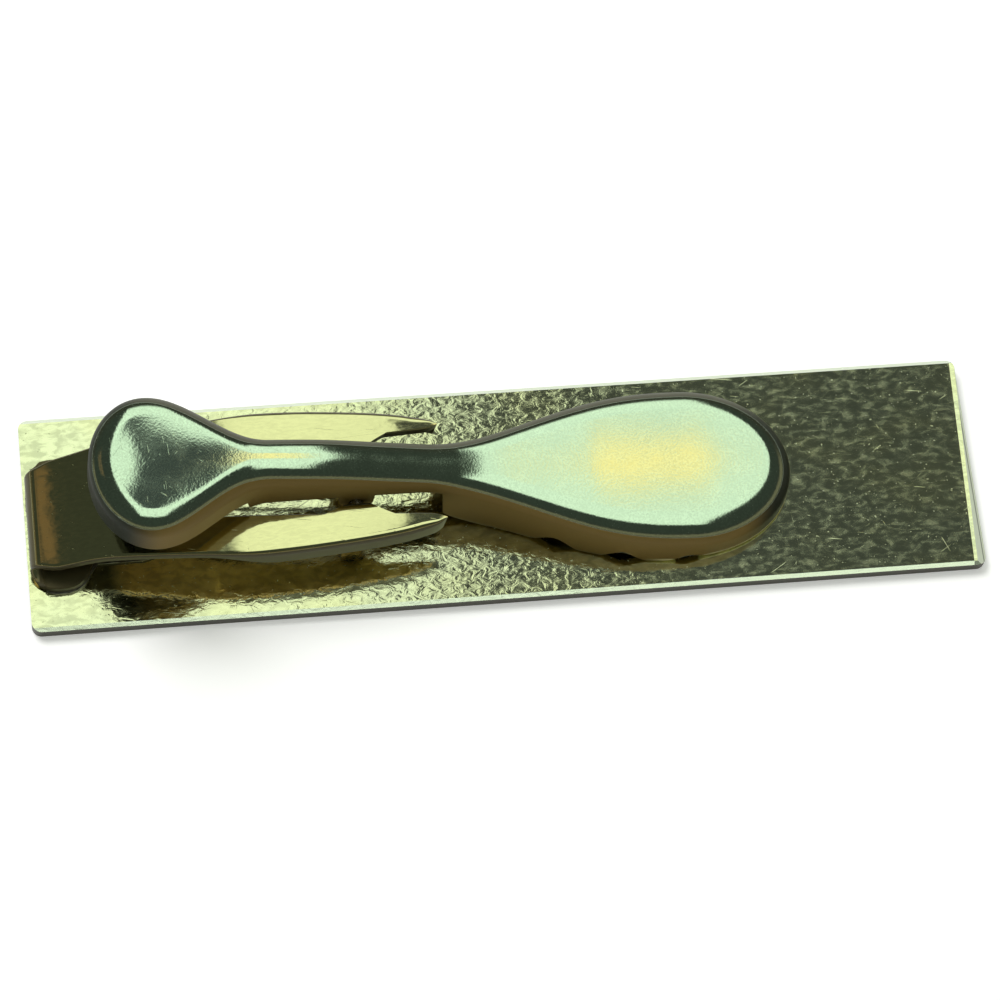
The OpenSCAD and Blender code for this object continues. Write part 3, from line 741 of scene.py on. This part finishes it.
WIRE = 0.25 * mm
SPRING_TURNS = 2
SPRING_PITCH = 0.66 * mm
SPRING_CLEARANCE = 0.14 * mm
LEVER_LEG_REACH = 5.2 * mm
LEG_GAP = 0.03 * mm


def spring_route():
    coil = PIN_RADIUS + SPRING_CLEARANCE + WIRE / 2
    near_x = -LEVER_LEG_REACH
    near_z = float(middle_top(PIVOT_X + near_x)) - SHEET - WIRE / 2 - LEG_GAP - PIVOT_Z
    foot_x = BEND_X + TONGUE_REACH - TONGUE_WIDTH / 4 - PIVOT_X
    foot_z = FOOT_Z + STRIP + WIRE / 2 + LEG_GAP - PIVOT_Z

    def touch(x, z, side):
        return math.atan2(z, x) + side * math.acos(coil / math.hypot(x, z))

    first = touch(near_x, near_z, -1)
    last = touch(foot_x, foot_z, 1) - 2 * math.pi * SPRING_TURNS
    width = (first - last) / (2 * math.pi) * SPRING_PITCH
    coil_points = [
        (coil * math.cos(a), mix(-width / 2, width / 2, share), coil * math.sin(a))
        for share in np.linspace(0, 1, 97)
        for a in [mix(first, last, share)]
    ]
    route = [(near_x, 0, near_z), *coil_points, (foot_x, width / 2, foot_z)]
    return [Vector((x + PIVOT_X, y, z + PIVOT_Z)) for x, y, z in route]


def add_spring(sides=12):
    """One tube along the wire's route, as a single piece not attached to the lever."""
    route = spring_route()
    points, faces = [], []
    for i, p in enumerate(route):
        ahead = (route[min(i + 1, len(route) - 1)] - route[max(i - 1, 0)]).normalized()
        u = ahead.cross(Vector((0, 1, 0))).normalized()
        v = ahead.cross(u)
        for k in range(sides):
            a = 2 * math.pi * k / sides
            points.append(p + WIRE / 2 * (u * math.cos(a) + v * math.sin(a)))
    for i in range(len(route) - 1):
        for k in range(sides):
            n = (k + 1) % sides
            a, b = i * sides, (i + 1) * sides
            faces.append((a + k, b + k, b + n, a + n))
    faces.append(list(range(sides)))
    faces.append([(len(route) - 1) * sides + k for k in reversed(range(sides))])
    spring = add_piece("spring_wire", points, faces)
    smooth(spring, 50)
    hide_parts("torsion_spring")
    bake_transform(spring)
    return spring


# Light: a dark room with one wide bright window overhead. A dark shape stands in the
# window, with a warm light beside it. Every limit is the X, Y or Z part of a direction.


class Nodes:
    """A short way to write a node tree."""

    def __init__(self, tree):
        self.tree = tree
        tree.nodes.clear()

    def add(self, kind, inputs=(), **settings):
        node = self.tree.nodes.new(kind)
        for key, value in settings.items():
            setattr(node, key, value)
        for key, value in dict(inputs).items():
            self.put(node.inputs[key], value)
        return node

    def put(self, socket, value):
        if isinstance(value, bpy.types.NodeSocket):
            self.tree.links.new(value, socket)
        elif isinstance(value, bpy.types.Node):
            self.tree.links.new(value.outputs[0], socket)
        else:
            socket.default_value = value

    def math(self, operation, *values):
        return self.add("ShaderNodeMath", dict(enumerate(values)), operation=operation)

    def chain(self, operation, values):
        result = values[0]
        for value in values[1:]:
            result = self.math(operation, result, value)
        return result

    def plus(self, *values):
        return self.chain("ADD", values)

    def times(self, *values):
        return self.chain("MULTIPLY", values)

    def most(self, *values):
        return self.chain("MAXIMUM", values)

    def vector(self, operation, *values):
        inputs = dict(enumerate(values))
        node = self.add("ShaderNodeVectorMath", inputs, operation=operation)
        return node.outputs["Value" if operation == "DOT_PRODUCT" else "Vector"]

    def parts(self, vector):
        outputs = self.add("ShaderNodeSeparateXYZ", {0: vector}).outputs
        return outputs["X"], outputs["Y"], outputs["Z"]

    def ramp(self, value, low, high, to_low=0.0, to_high=1.0):
        """A smooth step from low to high."""
        node = self.add(
            "ShaderNodeMapRange", interpolation_type="SMOOTHSTEP", clamp=True,
            inputs={"Value": value, "From Min": low, "From Max": high,
                    "To Min": to_low, "To Max": to_high},
        )
        return node.outputs["Result"]

    def band(self, value, low, high, soft):
        """1 between low and high, 0 outside them, with soft sides."""
        rise = self.ramp(value, low - soft / 2, low + soft / 2)
        fall = self.ramp(value, high + soft / 2, high - soft / 2)
        return self.times(rise, fall)

    def mix(self, share, a, b):
        node = self.add("ShaderNodeMix", data_type="RGBA")
        self.put(node.inputs["Factor"], share)
        self.put(node.inputs["A"], (*a, 1) if isinstance(a, tuple) else a)
        self.put(node.inputs["B"], (*b, 1) if isinstance(b, tuple) else b)
        return node.outputs["Result"]


ROOM_BELOW = (0.05, 0.042, 0.03)
ROOM_ABOVE = (0.045, 0.052, 0.042)
ROOM_RISE = (-0.1, 0.6)
WALL_LIGHT = (0.2, 0.17, 0.11)
WALL_HEIGHTS = (0.1, 0.32)
WALL_SOFT = 0.1
WALL_END = (0.55, 0.3)
WINDOW_LIGHT = (1.07, 1.18, 0.97)
DIM_LIGHT = (0.86, 0.98, 0.82)
WARM_LIGHT = (1.66, 1.24, 0.54)
SHAPE_LIGHT = (0.07, 0.08, 0.075)
STRIPE_LIGHT = (0.2, 0.135, 0.075)

# Each pane: its lowest and highest X and Y, and how soft its sides are in X and Y
WINDOW_PANE = ((-0.1, -0.46), (0.51, 0.9), (0.04, 0.1))
SHAPE_PANE = ((0.104, 0.1), (0.268, 0.487), (0.01, 0.04))
STRIPE_PANE = ((-0.545, 0.3), (-0.495, 0.48), (0.02, 0.04))
FAINT_STRIPE_PANE = ((-0.64, 0.3), (-0.555, 0.48), (0.03, 0.04))
FAINT_SHARE = 0.7

# Each lozenge: its centre, its half width in X and Y, and its softness
DIM_LOZENGE = ((0.315, 0.4), (0.1, 0.12), 0.6)
WARM_LOZENGE = ((0.325, 0.39), (0.065, 0.075), 0.9)

# The window's far side in X is pointed: it slants back from its tip on both sides
TIP_Y = 0.4
TIP_SLANTS = (0.35, -0.15)
TIP_FADE = (0.525, 0.475)
WINDOW_FOOT = (0.2, 0.4)


def pane(n, x, y, low, high, soft):
    """1 inside a rectangle of directions."""
    across = n.band(x, low[0], high[0], soft[0])
    along = n.band(y, low[1], high[1], soft[1])
    return n.times(across, along)


def lozenge(n, x, y, centre, half, soft):
    """1 at the centre of a lozenge of directions, which fades outwards."""
    dx = n.math("ABSOLUTE", n.math("DIVIDE", n.math("SUBTRACT", x, centre[0]), half[0]))
    dy = n.math("ABSOLUTE", n.math("DIVIDE", n.math("SUBTRACT", y, centre[1]), half[1]))
    return n.ramp(n.plus(dx, dy), 1 + soft, 1 - soft)


def room_light(n, y, z):
    light = n.mix(n.ramp(z, *ROOM_RISE), ROOM_BELOW, ROOM_ABOVE)
    wall = n.times(n.band(z, *WALL_HEIGHTS, WALL_SOFT), n.ramp(y, *WALL_END))
    return n.mix(wall, light, WALL_LIGHT)


def window_opening(n, x, y, z):
    beyond = n.math("SUBTRACT", y, TIP_Y)
    slant = n.most(*(n.times(beyond, slope) for slope in TIP_SLANTS))
    tip = n.ramp(n.plus(x, slant), *TIP_FADE)
    return n.times(pane(n, x, y, *WINDOW_PANE), tip, n.ramp(z, *WINDOW_FOOT))


def window_light(n, x, y):
    light = n.mix(lozenge(n, x, y, *DIM_LOZENGE), WINDOW_LIGHT, DIM_LIGHT)
    light = n.mix(lozenge(n, x, y, *WARM_LOZENGE), light, WARM_LIGHT)
    return n.mix(pane(n, x, y, *SHAPE_PANE), light, SHAPE_LIGHT)


def add_world():
    world = bpy.data.worlds.new("studio")
    world.use_nodes = True
    n = Nodes(world.node_tree)
    x, y, z = n.parts(n.add("ShaderNodeTexCoord").outputs["Generated"])
    light = room_light(n, y, z)
    light = n.mix(window_opening(n, x, y, z), light, window_light(n, x, y))
    faint = n.times(pane(n, x, y, *FAINT_STRIPE_PANE), FAINT_SHARE)
    stripes = n.most(pane(n, x, y, *STRIPE_PANE), faint)
    light = n.mix(stripes, light, STRIPE_LIGHT)
    background = n.add("ShaderNodeBackground", {"Color": light})
    n.add("ShaderNodeOutputWorld", {"Surface": background})
    bpy.context.scene.world = world


LAMP_PLACE = Vector((-180, 260, 420)) * mm
LAMP_SIZE = 260 * mm
LAMP_POWER = 2.0


def add_lamp():
    data = bpy.data.lights.new("softbox", "AREA")
    data.size = LAMP_SIZE
    data.energy = LAMP_POWER
    lamp = bpy.data.objects.new("softbox", data)
    lamp.location = LAMP_PLACE
    lamp.rotation_mode = "QUATERNION"
    lamp.rotation_quaternion = (-LAMP_PLACE).to_track_quat("-Z", "Y")
    lamp.visible_glossy = False
    bpy.context.scene.collection.objects.link(lamp)


FLOOR_SIZE = 3.0
FLOOR_GAP = 0.02 * mm
PAPER_WHITE = 0.93
PAPER_GLOW = 0.36


def paper():
    """Plain white, and lit enough to be white wherever it is seen or mirrored."""
    material = bpy.data.materials.new("paper")
    material.use_nodes = True
    n = Nodes(material.node_tree)
    sheet = n.add("ShaderNodeBsdfDiffuse", {"Color": (PAPER_WHITE, PAPER_WHITE, PAPER_WHITE, 1)})
    glow = n.add("ShaderNodeEmission", {"Color": (1, 1, 1, 1), "Strength": PAPER_GLOW})
    dark = n.add("ShaderNodeEmission", {"Strength": 0.0})
    path = n.add("ShaderNodeLightPath").outputs
    seen = n.most(path["Is Camera Ray"], path["Is Glossy Ray"], path["Is Transmission Ray"])
    added = n.add("ShaderNodeMixShader", {0: seen, 1: dark, 2: glow})
    whole = n.add("ShaderNodeAddShader", {0: sheet, 1: added})
    n.add("ShaderNodeOutputMaterial", {"Surface": whole})
    return material


def add_floor():
    mesh = bpy.data.meshes.new("floor")
    half = FLOOR_SIZE / 2
    corners = [(-half, -half, 0), (half, -half, 0), (half, half, 0), (-half, half, 0)]
    mesh.from_pydata(corners, [], [(0, 1, 2, 3)])
    mesh.materials.append(paper())
    floor = bpy.data.objects.new("floor", mesh)
    floor.location.z = bar_low.z - FLOOR_GAP
    bpy.context.scene.collection.objects.link(floor)


# Materials: gilt metals, whose patterns are in each piece's own coordinates. Steep faces,
# which would mirror the floor, are dull and painted dark: a painted reflection of dark
# surroundings.

GILT_BAR = (0.86, 0.9, 0.6)
GILT_LEVER = (0.64, 0.8, 0.63)
GILT_FORK = (0.77, 0.75, 0.41)
STAIN = (0.88, 0.86, 0.46)
# Pale worn bevels, whose colour also paints their bright highlight
WORN_EDGE_AND_HIGHLIGHT = (0.93, 1.0, 0.84)
# A painted highlight along the low rim of the jaw at the toe
RIM_PAINTED_HIGHLIGHT = (1.0, 0.9, 0.5)
# Painted reflections on the lever's skirt: brown on the near side, grey on the far side, near
# black at the ends
SKIRT_PAINTED_REFLECTION = (0.26, 0.175, 0.05)
FAR_SKIRT_PAINTED_REFLECTION = (0.1, 0.1, 0.07)
END_SKIRT_PAINTED_REFLECTION = (0.035, 0.04, 0.028)
# Warm and dull: the colour of the fork's faces that look down
WARM_UNDERSIDE = (0.7, 0.5, 0.2)
# Painted reflection: the bar's walls are dark where they would mirror the floor
BAR_WALL_PAINTED_REFLECTION = (0.06, 0.056, 0.036)
# Painted dark reflection on the fork's walls and painted shade inside its bend
OLIVE_PAINTED_SHADE_AND_REFLECTION = (0.085, 0.074, 0.034)

# Each grain: its length, width, detail, wander and seed
FLAKES = (0.7 * mm, 0.42 * mm, 3, 0.8, 0.0)
CLOUDS = (0.7 * mm, 0.4 * mm, 4, 0.5, 7.0)
STAINS = (5.0 * mm, 3.0 * mm, 2, 0.0, 3.0)
SPECKS = (0.17 * mm, 0.14 * mm, 1, 0.0, 11.0)
STREAKS = (1.7 * mm, 0.24 * mm, 4, 0.3, 9.0)
SATIN = (0.13 * mm, 0.13 * mm, 2, 0.0, 0.0)
WEAR = (1.2 * mm, 0.9 * mm, 3, 0.3, 4.0)
DENTS = (1.2 * mm, 0.7 * mm, 2, 0.3, 0.0)
FINE_LINES = (0.5 * mm, 0.16 * mm, 3, 0.4, 5.0)
WIRE_GRAIN = (0.12 * mm, 0.12 * mm, 3, 0.0, 0.0)
WIRE_SPOTS = (0.6 * mm, 0.6 * mm, 3, 0.0, 2.0)

# Each set of scratches: its angle, length, width, share and seed
BAR_SCRATCHES = [
    (8, 4 * mm, 0.1 * mm, 0.22, 1.3),
    (-32, 3 * mm, 0.09 * mm, 0.23, 5.1),
    (68, 3 * mm, 0.1 * mm, 0.21, 9.7),
]
LEVER_SCRATCHES = [
    (35, 2.4 * mm, 0.07 * mm, 0.26, 2.2),
    (-50, 2.0 * mm, 0.07 * mm, 0.26, 6.4),
    (85, 2.2 * mm, 0.07 * mm, 0.26, 8.8),
]
FORK_SCRATCHES = [
    (10, 3 * mm, 0.08 * mm, 0.25, 3.3),
    (75, 3 * mm, 0.1 * mm, 0.22, 4.4),
]
SCRATCH_FADE = 0.04

# Spans of a noise's values, over which a pattern turns from one look to another
WIDE = (0.3, 0.7)
NARROW = (0.35, 0.65)
STAIN_SPAN = (0.4, 0.7)
CLOUD_SPAN = (0.4, 0.75)
SPECK_SPAN = (0.73, 0.77)
STREAK_SPAN = (0.48, 0.78)
WIRE_SPAN = (0.2, 0.8)


def own_place(n):
    return n.add("ShaderNodeTexCoord").outputs["Object"]


def grain(n, length, width, detail, wander, seed):
    """Noise whose features are length long in X and width wide."""
    place = n.vector("MULTIPLY", own_place(n), (1 / length, 1 / width, 1 / width))
    place = n.vector("ADD", place, (seed, seed, seed))
    return n.add(
        "ShaderNodeTexNoise",
        {"Vector": place, "Scale": 1.0, "Detail": detail, "Distortion": wander},
    ).outputs[0]


def scratch_set(n, angle, length, width, share, seed):
    """1 on thin lines at an angle, 0 elsewhere."""
    turned = n.add("ShaderNodeVectorRotate", rotation_type="Z_AXIS",
                   inputs={"Vector": own_place(n), "Angle": math.radians(angle)})
    place = n.vector("MULTIPLY", turned.outputs[0], (1 / length, 1 / width, 1 / width))
    place = n.vector("ADD", place, (seed, seed * 2, seed * 3))
    noise = n.add("ShaderNodeTexNoise", {"Vector": place, "Scale": 1.0, "Detail": 1.0})
    return n.ramp(noise.outputs[0], 1 - share, 1 - share + SCRATCH_FADE)


def scratches(n, sets):
    return n.most(*(scratch_set(n, *row) for row in sets))


def facing(n, direction):
    """How far a face looks in a direction, as their dot product."""
    normal = n.add("ShaderNodeNewGeometry").outputs["Normal"]
    return n.vector("DOT_PRODUCT", normal, direction)


def facing_up(n, lean=(0.0, 0.0)):
    """How far a face looks up, measured from an axis that leans in X and Y."""
    return facing(n, tuple(Vector((*lean, 1)).normalized()))


def dim(colour, share):
    return tuple(part * share for part in colour)


def new_metal(name):
    material = bpy.data.materials.new(name)
    material.use_nodes = True
    n = Nodes(material.node_tree)
    shader = n.add("ShaderNodeBsdfPrincipled")
    n.add("ShaderNodeOutputMaterial", {"Surface": shader.outputs[0]})
    return material, n, shader


def set_surface(n, shader, colour, metal, rough):
    n.put(shader.inputs["Base Color"], colour)
    n.put(shader.inputs["Metallic"], metal)
    n.put(shader.inputs["Roughness"], rough)


def relief(n, shader, *layers):
    """Bumps in turn, each a pattern and its height in metres."""
    normal = None
    for pattern, height in layers:
        bump = n.add("ShaderNodeBump", {"Height": pattern, "Distance": height, "Strength": 1.0})
        if normal:
            n.put(bump.inputs["Normal"], normal)
        normal = bump.outputs[0]
    n.put(shader.inputs["Normal"], normal)


# Bar: flaky plate that is smoother and streaked behind the jaw, worn pale on its bevels,
# whose pale colour also paints their bright highlight.
# Its warps are in metres of height: a twist per X and Y, a bow per X squared, and a slope.

BAR_TOP = (0.93, 0.98)
BAR_WALL = (0.45, 0.3)
# A line of painted shade on the bevels, between these distances from the bar's end
GROOVE_IN = 0.2 * mm
GROOVE_OUT = 0.13 * mm
GROOVE_SOFT = 0.03 * mm
STREAKED_X = (4 * mm, 12 * mm)
SMOOTHER_X = (3 * mm, 13 * mm)
SMOOTHER_SHARE = 0.3
TWIST = -0.3
BOW = 0.645
FILED_RUN = 0.55 * mm
FILED_SKEW = 0.037
FILED_SLOPE = -0.165
FLAKE_HEIGHT = 0.014 * mm
SCRATCH_HEIGHT = 0.002 * mm
CLOUD_SHADE = 0.7
GROOVE_PAINTED_SHADE = 0.4
STAIN_SHARE = 0.35
DULL_WAY = (0.5, 1, 0)
DULL_SPAN = (-0.1, 0.05)
BEVEL_METAL = 0.15
WALL_METAL = 0.1
PLATE_ROUGH = (0.06, 0.15)
LINE_ROUGH = 0.32
SPECK_ROUGH = 0.5
STREAK_ROUGH = 0.17
BEVEL_ROUGH = 0.25
WALL_ROUGH = 0.45


def bar_colour(n, x, cloud, flat, side):
    gilt = n.mix(n.ramp(cloud, *NARROW), dim(GILT_BAR, CLOUD_SHADE), GILT_BAR)
    gilt = n.mix(n.ramp(grain(n, *STAINS), *STAIN_SPAN, 0, STAIN_SHARE), gilt, STAIN)
    # Painted shade: a dark line on the bevels near the bar's end
    groove = n.band(x, bar_high.x - GROOVE_IN, bar_high.x - GROOVE_OUT, GROOVE_SOFT)
    # Bevels take the pale worn colour, which paints their bright highlight
    wear_and_highlight = n.mix(groove, WORN_EDGE_AND_HIGHLIGHT, dim(WORN_EDGE_AND_HIGHLIGHT, GROOVE_PAINTED_SHADE))
    # The walls take a painted dark reflection
    return n.mix(side, n.mix(flat, wear_and_highlight, gilt), BAR_WALL_PAINTED_REFLECTION)


def bar_metal(n, flat, side):
    """Bevels that face away or to the end are dull, so that their pale colour shows as a painted
    highlight, and so are the walls.
    """
    bevels = n.ramp(facing(n, DULL_WAY), *DULL_SPAN, 1, BEVEL_METAL)
    return n.times(n.most(flat, bevels), n.ramp(side, 0, 1, 1, WALL_METAL))


def bar_roughness(n, x, cloud, lines, flat, side):
    specks = n.ramp(grain(n, *SPECKS), *SPECK_SPAN)
    streaks = n.times(n.ramp(grain(n, *STREAKS), *STREAK_SPAN), n.ramp(x, *STREAKED_X))
    return n.most(
        n.ramp(cloud, *CLOUD_SPAN, *PLATE_ROUGH), n.times(lines, LINE_ROUGH),
        n.times(specks, SPECK_ROUGH), n.times(streaks, STREAK_ROUGH),
        n.ramp(flat, 1, 0, 0, BEVEL_ROUGH), n.times(side, WALL_ROUGH),
    )


def bar_warp(n, x, y):
    """Heights of a slight twist, of a bow behind the jaw and of the filed end."""
    right = n.most(x, 0.0)
    filed_x = n.plus(n.times(y, FILED_SKEW), bar_high.x - FILED_RUN)
    filed = n.most(n.math("SUBTRACT", x, filed_x), 0.0)
    return n.plus(
        n.times(x, n.times(y, TWIST)), n.times(n.times(right, right), BOW),
        n.times(filed, FILED_SLOPE),
    )


def bar_gilt():
    material, n, shader = new_metal("bar_gilt")
    x, y, _ = n.parts(own_place(n))
    flat = n.ramp(facing_up(n), *BAR_TOP)
    side = n.ramp(facing_up(n), *BAR_WALL)
    cloud = grain(n, *CLOUDS)
    lines = scratches(n, BAR_SCRATCHES)
    rough = bar_roughness(n, x, cloud, lines, flat, side)
    set_surface(n, shader, bar_colour(n, x, cloud, flat, side), bar_metal(n, flat, side), rough)
    flakes = n.times(grain(n, *FLAKES), n.ramp(x, *SMOOTHER_X, 1, SMOOTHER_SHARE))
    warp = bar_warp(n, x, y)
    relief(n, shader, (warp, 1.0), (flakes, FLAKE_HEIGHT), (lines, SCRATCH_HEIGHT))
    return material


# Lever: satin plate, rubbed on the pad, over a skirt painted with a brown reflection and with
# a painted highlight along its rim at the toe

# The up axis that marks the painted skirt leans to -X and -Y, so more of the far side is painted
LEVER_LEAN = (-0.064, -0.203)
LEVER_SIDE = (0.75, 0.715)
BROWN_FROM = (-23 * mm, -20.5 * mm)
BROWN_TO = (16 * mm, 13.5 * mm)
BROWN_AWAY = (0, 0.3)
RIM_RISE = (0.38 * mm, 0.3 * mm)
RIM_FROM = (7.5 * mm, 9.5 * mm)
RUB_LEAD = 2 * mm
SATIN_HEIGHT = 0.0032 * mm
RUB_HEIGHT = 0.001 * mm
WEAR_SHADE = 0.93
SATIN_SHADE = 0.86
SATIN_ROUGH = (0.07, 0.11)
RUB_ROUGH = 0.22
SKIRT_METAL = 0.05
SKIRT_SHEEN = 0.1


def lever_colour(n, x, z, satin, wear, side):
    gilt = n.mix(n.ramp(wear, *WIDE), dim(GILT_LEVER, WEAR_SHADE), GILT_LEVER)
    gilt = n.mix(n.ramp(satin, *NARROW), dim(GILT_LEVER, SATIN_SHADE), gilt)
    # Painted reflection on the skirt: brown on the near side, grey on the far side and near black
    # at the ends
    brown = n.times(n.ramp(x, *BROWN_FROM), n.ramp(x, *BROWN_TO))
    away = n.ramp(facing(n, (0, 1, 0)), *BROWN_AWAY)
    skirt = n.mix(brown, END_SKIRT_PAINTED_REFLECTION, n.mix(away, SKIRT_PAINTED_REFLECTION, FAR_SKIRT_PAINTED_REFLECTION))
    # A painted highlight along the rim near the bar, towards the toe
    rim_top = [BACK_Z + rise for rise in RIM_RISE]
    rim = n.times(n.ramp(z, *rim_top), n.ramp(x, *RIM_FROM))
    return n.mix(side, gilt, n.mix(rim, skirt, RIM_PAINTED_HIGHLIGHT))


def lever_gilt():
    material, n, shader = new_metal("lever_gilt")
    x, _, z = n.parts(own_place(n))
    side = n.ramp(facing_up(n, LEVER_LEAN), *LEVER_SIDE)
    satin = grain(n, *SATIN)
    wear = grain(n, *WEAR)
    rubbed = n.ramp(x, JAW_STEP - RUB_LEAD, PAD_STEP)
    lines = n.times(scratches(n, LEVER_SCRATCHES), rubbed)
    rough = n.most(
        n.ramp(wear, *WIDE, *SATIN_ROUGH), n.times(lines, RUB_ROUGH),
        n.ramp(side, 0, 1, 0, WALL_ROUGH),
    )
    colour = lever_colour(n, x, z, satin, wear, side)
    set_surface(n, shader, colour, n.ramp(side, 0, 1, 1, SKIRT_METAL), rough)
    shader.inputs["Specular IOR Level"].default_value = SKIRT_SHEEN
    relief(n, shader, (satin, SATIN_HEIGHT), (lines, RUB_HEIGHT))
    return material


# Fork: smooth yellow plate, with painted shade inside its bend and a painted dark reflection on
# its walls, and dull and warm underneath

FORK_LEAN = (0, -0.2)
FORK_SIDE = (0.79, 0.7)
FORK_BELOW = (-0.4, -0.6)
BEND_DEPTH = (0.2 * mm, 0.5 * mm)
BEND_START = (0.25 * mm, 0.55 * mm)
BEND_STOP = (6 * mm, 4.5 * mm)
FORK_TILT = 0.008
DENT_HEIGHT = 0.006 * mm
FINE_SHADE = 0.9
FORK_ROUGH = (0.05, 0.1)
FORK_LINE_ROUGH = 0.3
BELOW_ROUGH = 0.5
FORK_WALL_ROUGH = 0.35
FORK_WALL_METAL = 0.12
FORK_WALL_SHEEN = 0.2


def painted_bend_shade(n):
    """1 on the faces inside the bend, under the leg's upper face, where shade is painted."""
    x, _, z = n.parts(own_place(n))
    slope = math.tan(math.radians(LEG_ANGLE))
    leg_top = n.plus(n.times(x, slope), LEG_START[1] - LEG_START[0] * slope)
    deep = n.ramp(n.math("SUBTRACT", leg_top, z), *BEND_DEPTH)
    starts = n.ramp(x, *(BEND_X + run for run in BEND_START))
    stops = n.ramp(x, *(BEND_X + run for run in BEND_STOP))
    return n.times(deep, starts, stops)


def fork_gilt():
    material, n, shader = new_metal("fork_gilt")
    x, _, _ = n.parts(own_place(n))
    fine = grain(n, *FINE_LINES)
    lines = scratches(n, FORK_SCRATCHES)
    up = facing_up(n, FORK_LEAN)
    below = n.ramp(up, *FORK_BELOW)
    wall = n.times(n.ramp(up, *FORK_SIDE), n.ramp(up, *reversed(FORK_BELOW)))
    side = n.most(wall, painted_bend_shade(n))
    gilt = n.mix(n.ramp(fine, *WIDE), dim(GILT_FORK, FINE_SHADE), GILT_FORK)
    # Walls take a painted dark reflection and the inside of the bend painted shade
    colour = n.mix(side, n.mix(below, gilt, WARM_UNDERSIDE), OLIVE_PAINTED_SHADE_AND_REFLECTION)
    rough = n.most(
        n.ramp(fine, *WIDE, *FORK_ROUGH), n.times(lines, FORK_LINE_ROUGH),
        n.times(below, BELOW_ROUGH), n.ramp(side, 0, 1, 0, FORK_WALL_ROUGH),
    )
    set_surface(n, shader, colour, n.ramp(side, 0, 1, 1, FORK_WALL_METAL), rough)
    shader.inputs["Specular IOR Level"].default_value = FORK_WALL_SHEEN
    tilt = n.times(x, FORK_TILT)
    relief(n, shader, (tilt, 1.0), (grain(n, *DENTS), DENT_HEIGHT), (lines, SCRATCH_HEIGHT))
    return material


# Plain metals: the colour and roughness of each

SPRING_STEEL = ((0.4, 0.4, 0.4), 0.3)
SOLDER_METAL = ((0.4, 0.38, 0.34), 0.45)
PIN_STEEL = ((0.5, 0.5, 0.47), 0.25)
WIRE_HEIGHT = 0.003 * mm
SPOT_SHADE = 0.6
ROUGH_SHARES = (0.7, 1.3)


def plain_metal(name, colour, roughness):
    """Drawn wire or dull solder, with fine grain and spots."""
    material, n, shader = new_metal(name)
    fine = grain(n, *WIRE_GRAIN)
    spots = n.ramp(grain(n, *WIRE_SPOTS), *WIDE)
    shade = n.mix(spots, dim(colour, SPOT_SHADE), colour)
    low, high = (roughness * share for share in ROUGH_SHARES)
    rough = n.ramp(fine, *WIRE_SPAN, low, high)
    set_surface(n, shader, shade, 1.0, rough)
    relief(n, shader, (fine, WIRE_HEIGHT))
    return material


def dress(piece, material):
    piece.data.materials.clear()
    piece.data.materials.append(material)


add_camera()
add_world()
add_lamp()
add_floor()
dress(add_lever(), lever_gilt())
dress(add_fork(), fork_gilt())
dress(add_spring(), plain_metal("spring_steel", *SPRING_STEEL))
dress(frame["nodes"]["front_bar"], bar_gilt())
dress(frame["nodes"]["solder_seam"], plain_metal("solder", *SOLDER_METAL))
dress(frame["nodes"]["pivot_pin"], plain_metal("pin_steel", *PIN_STEEL))
bpy.context.scene.view_settings.view_transform = "Standard"
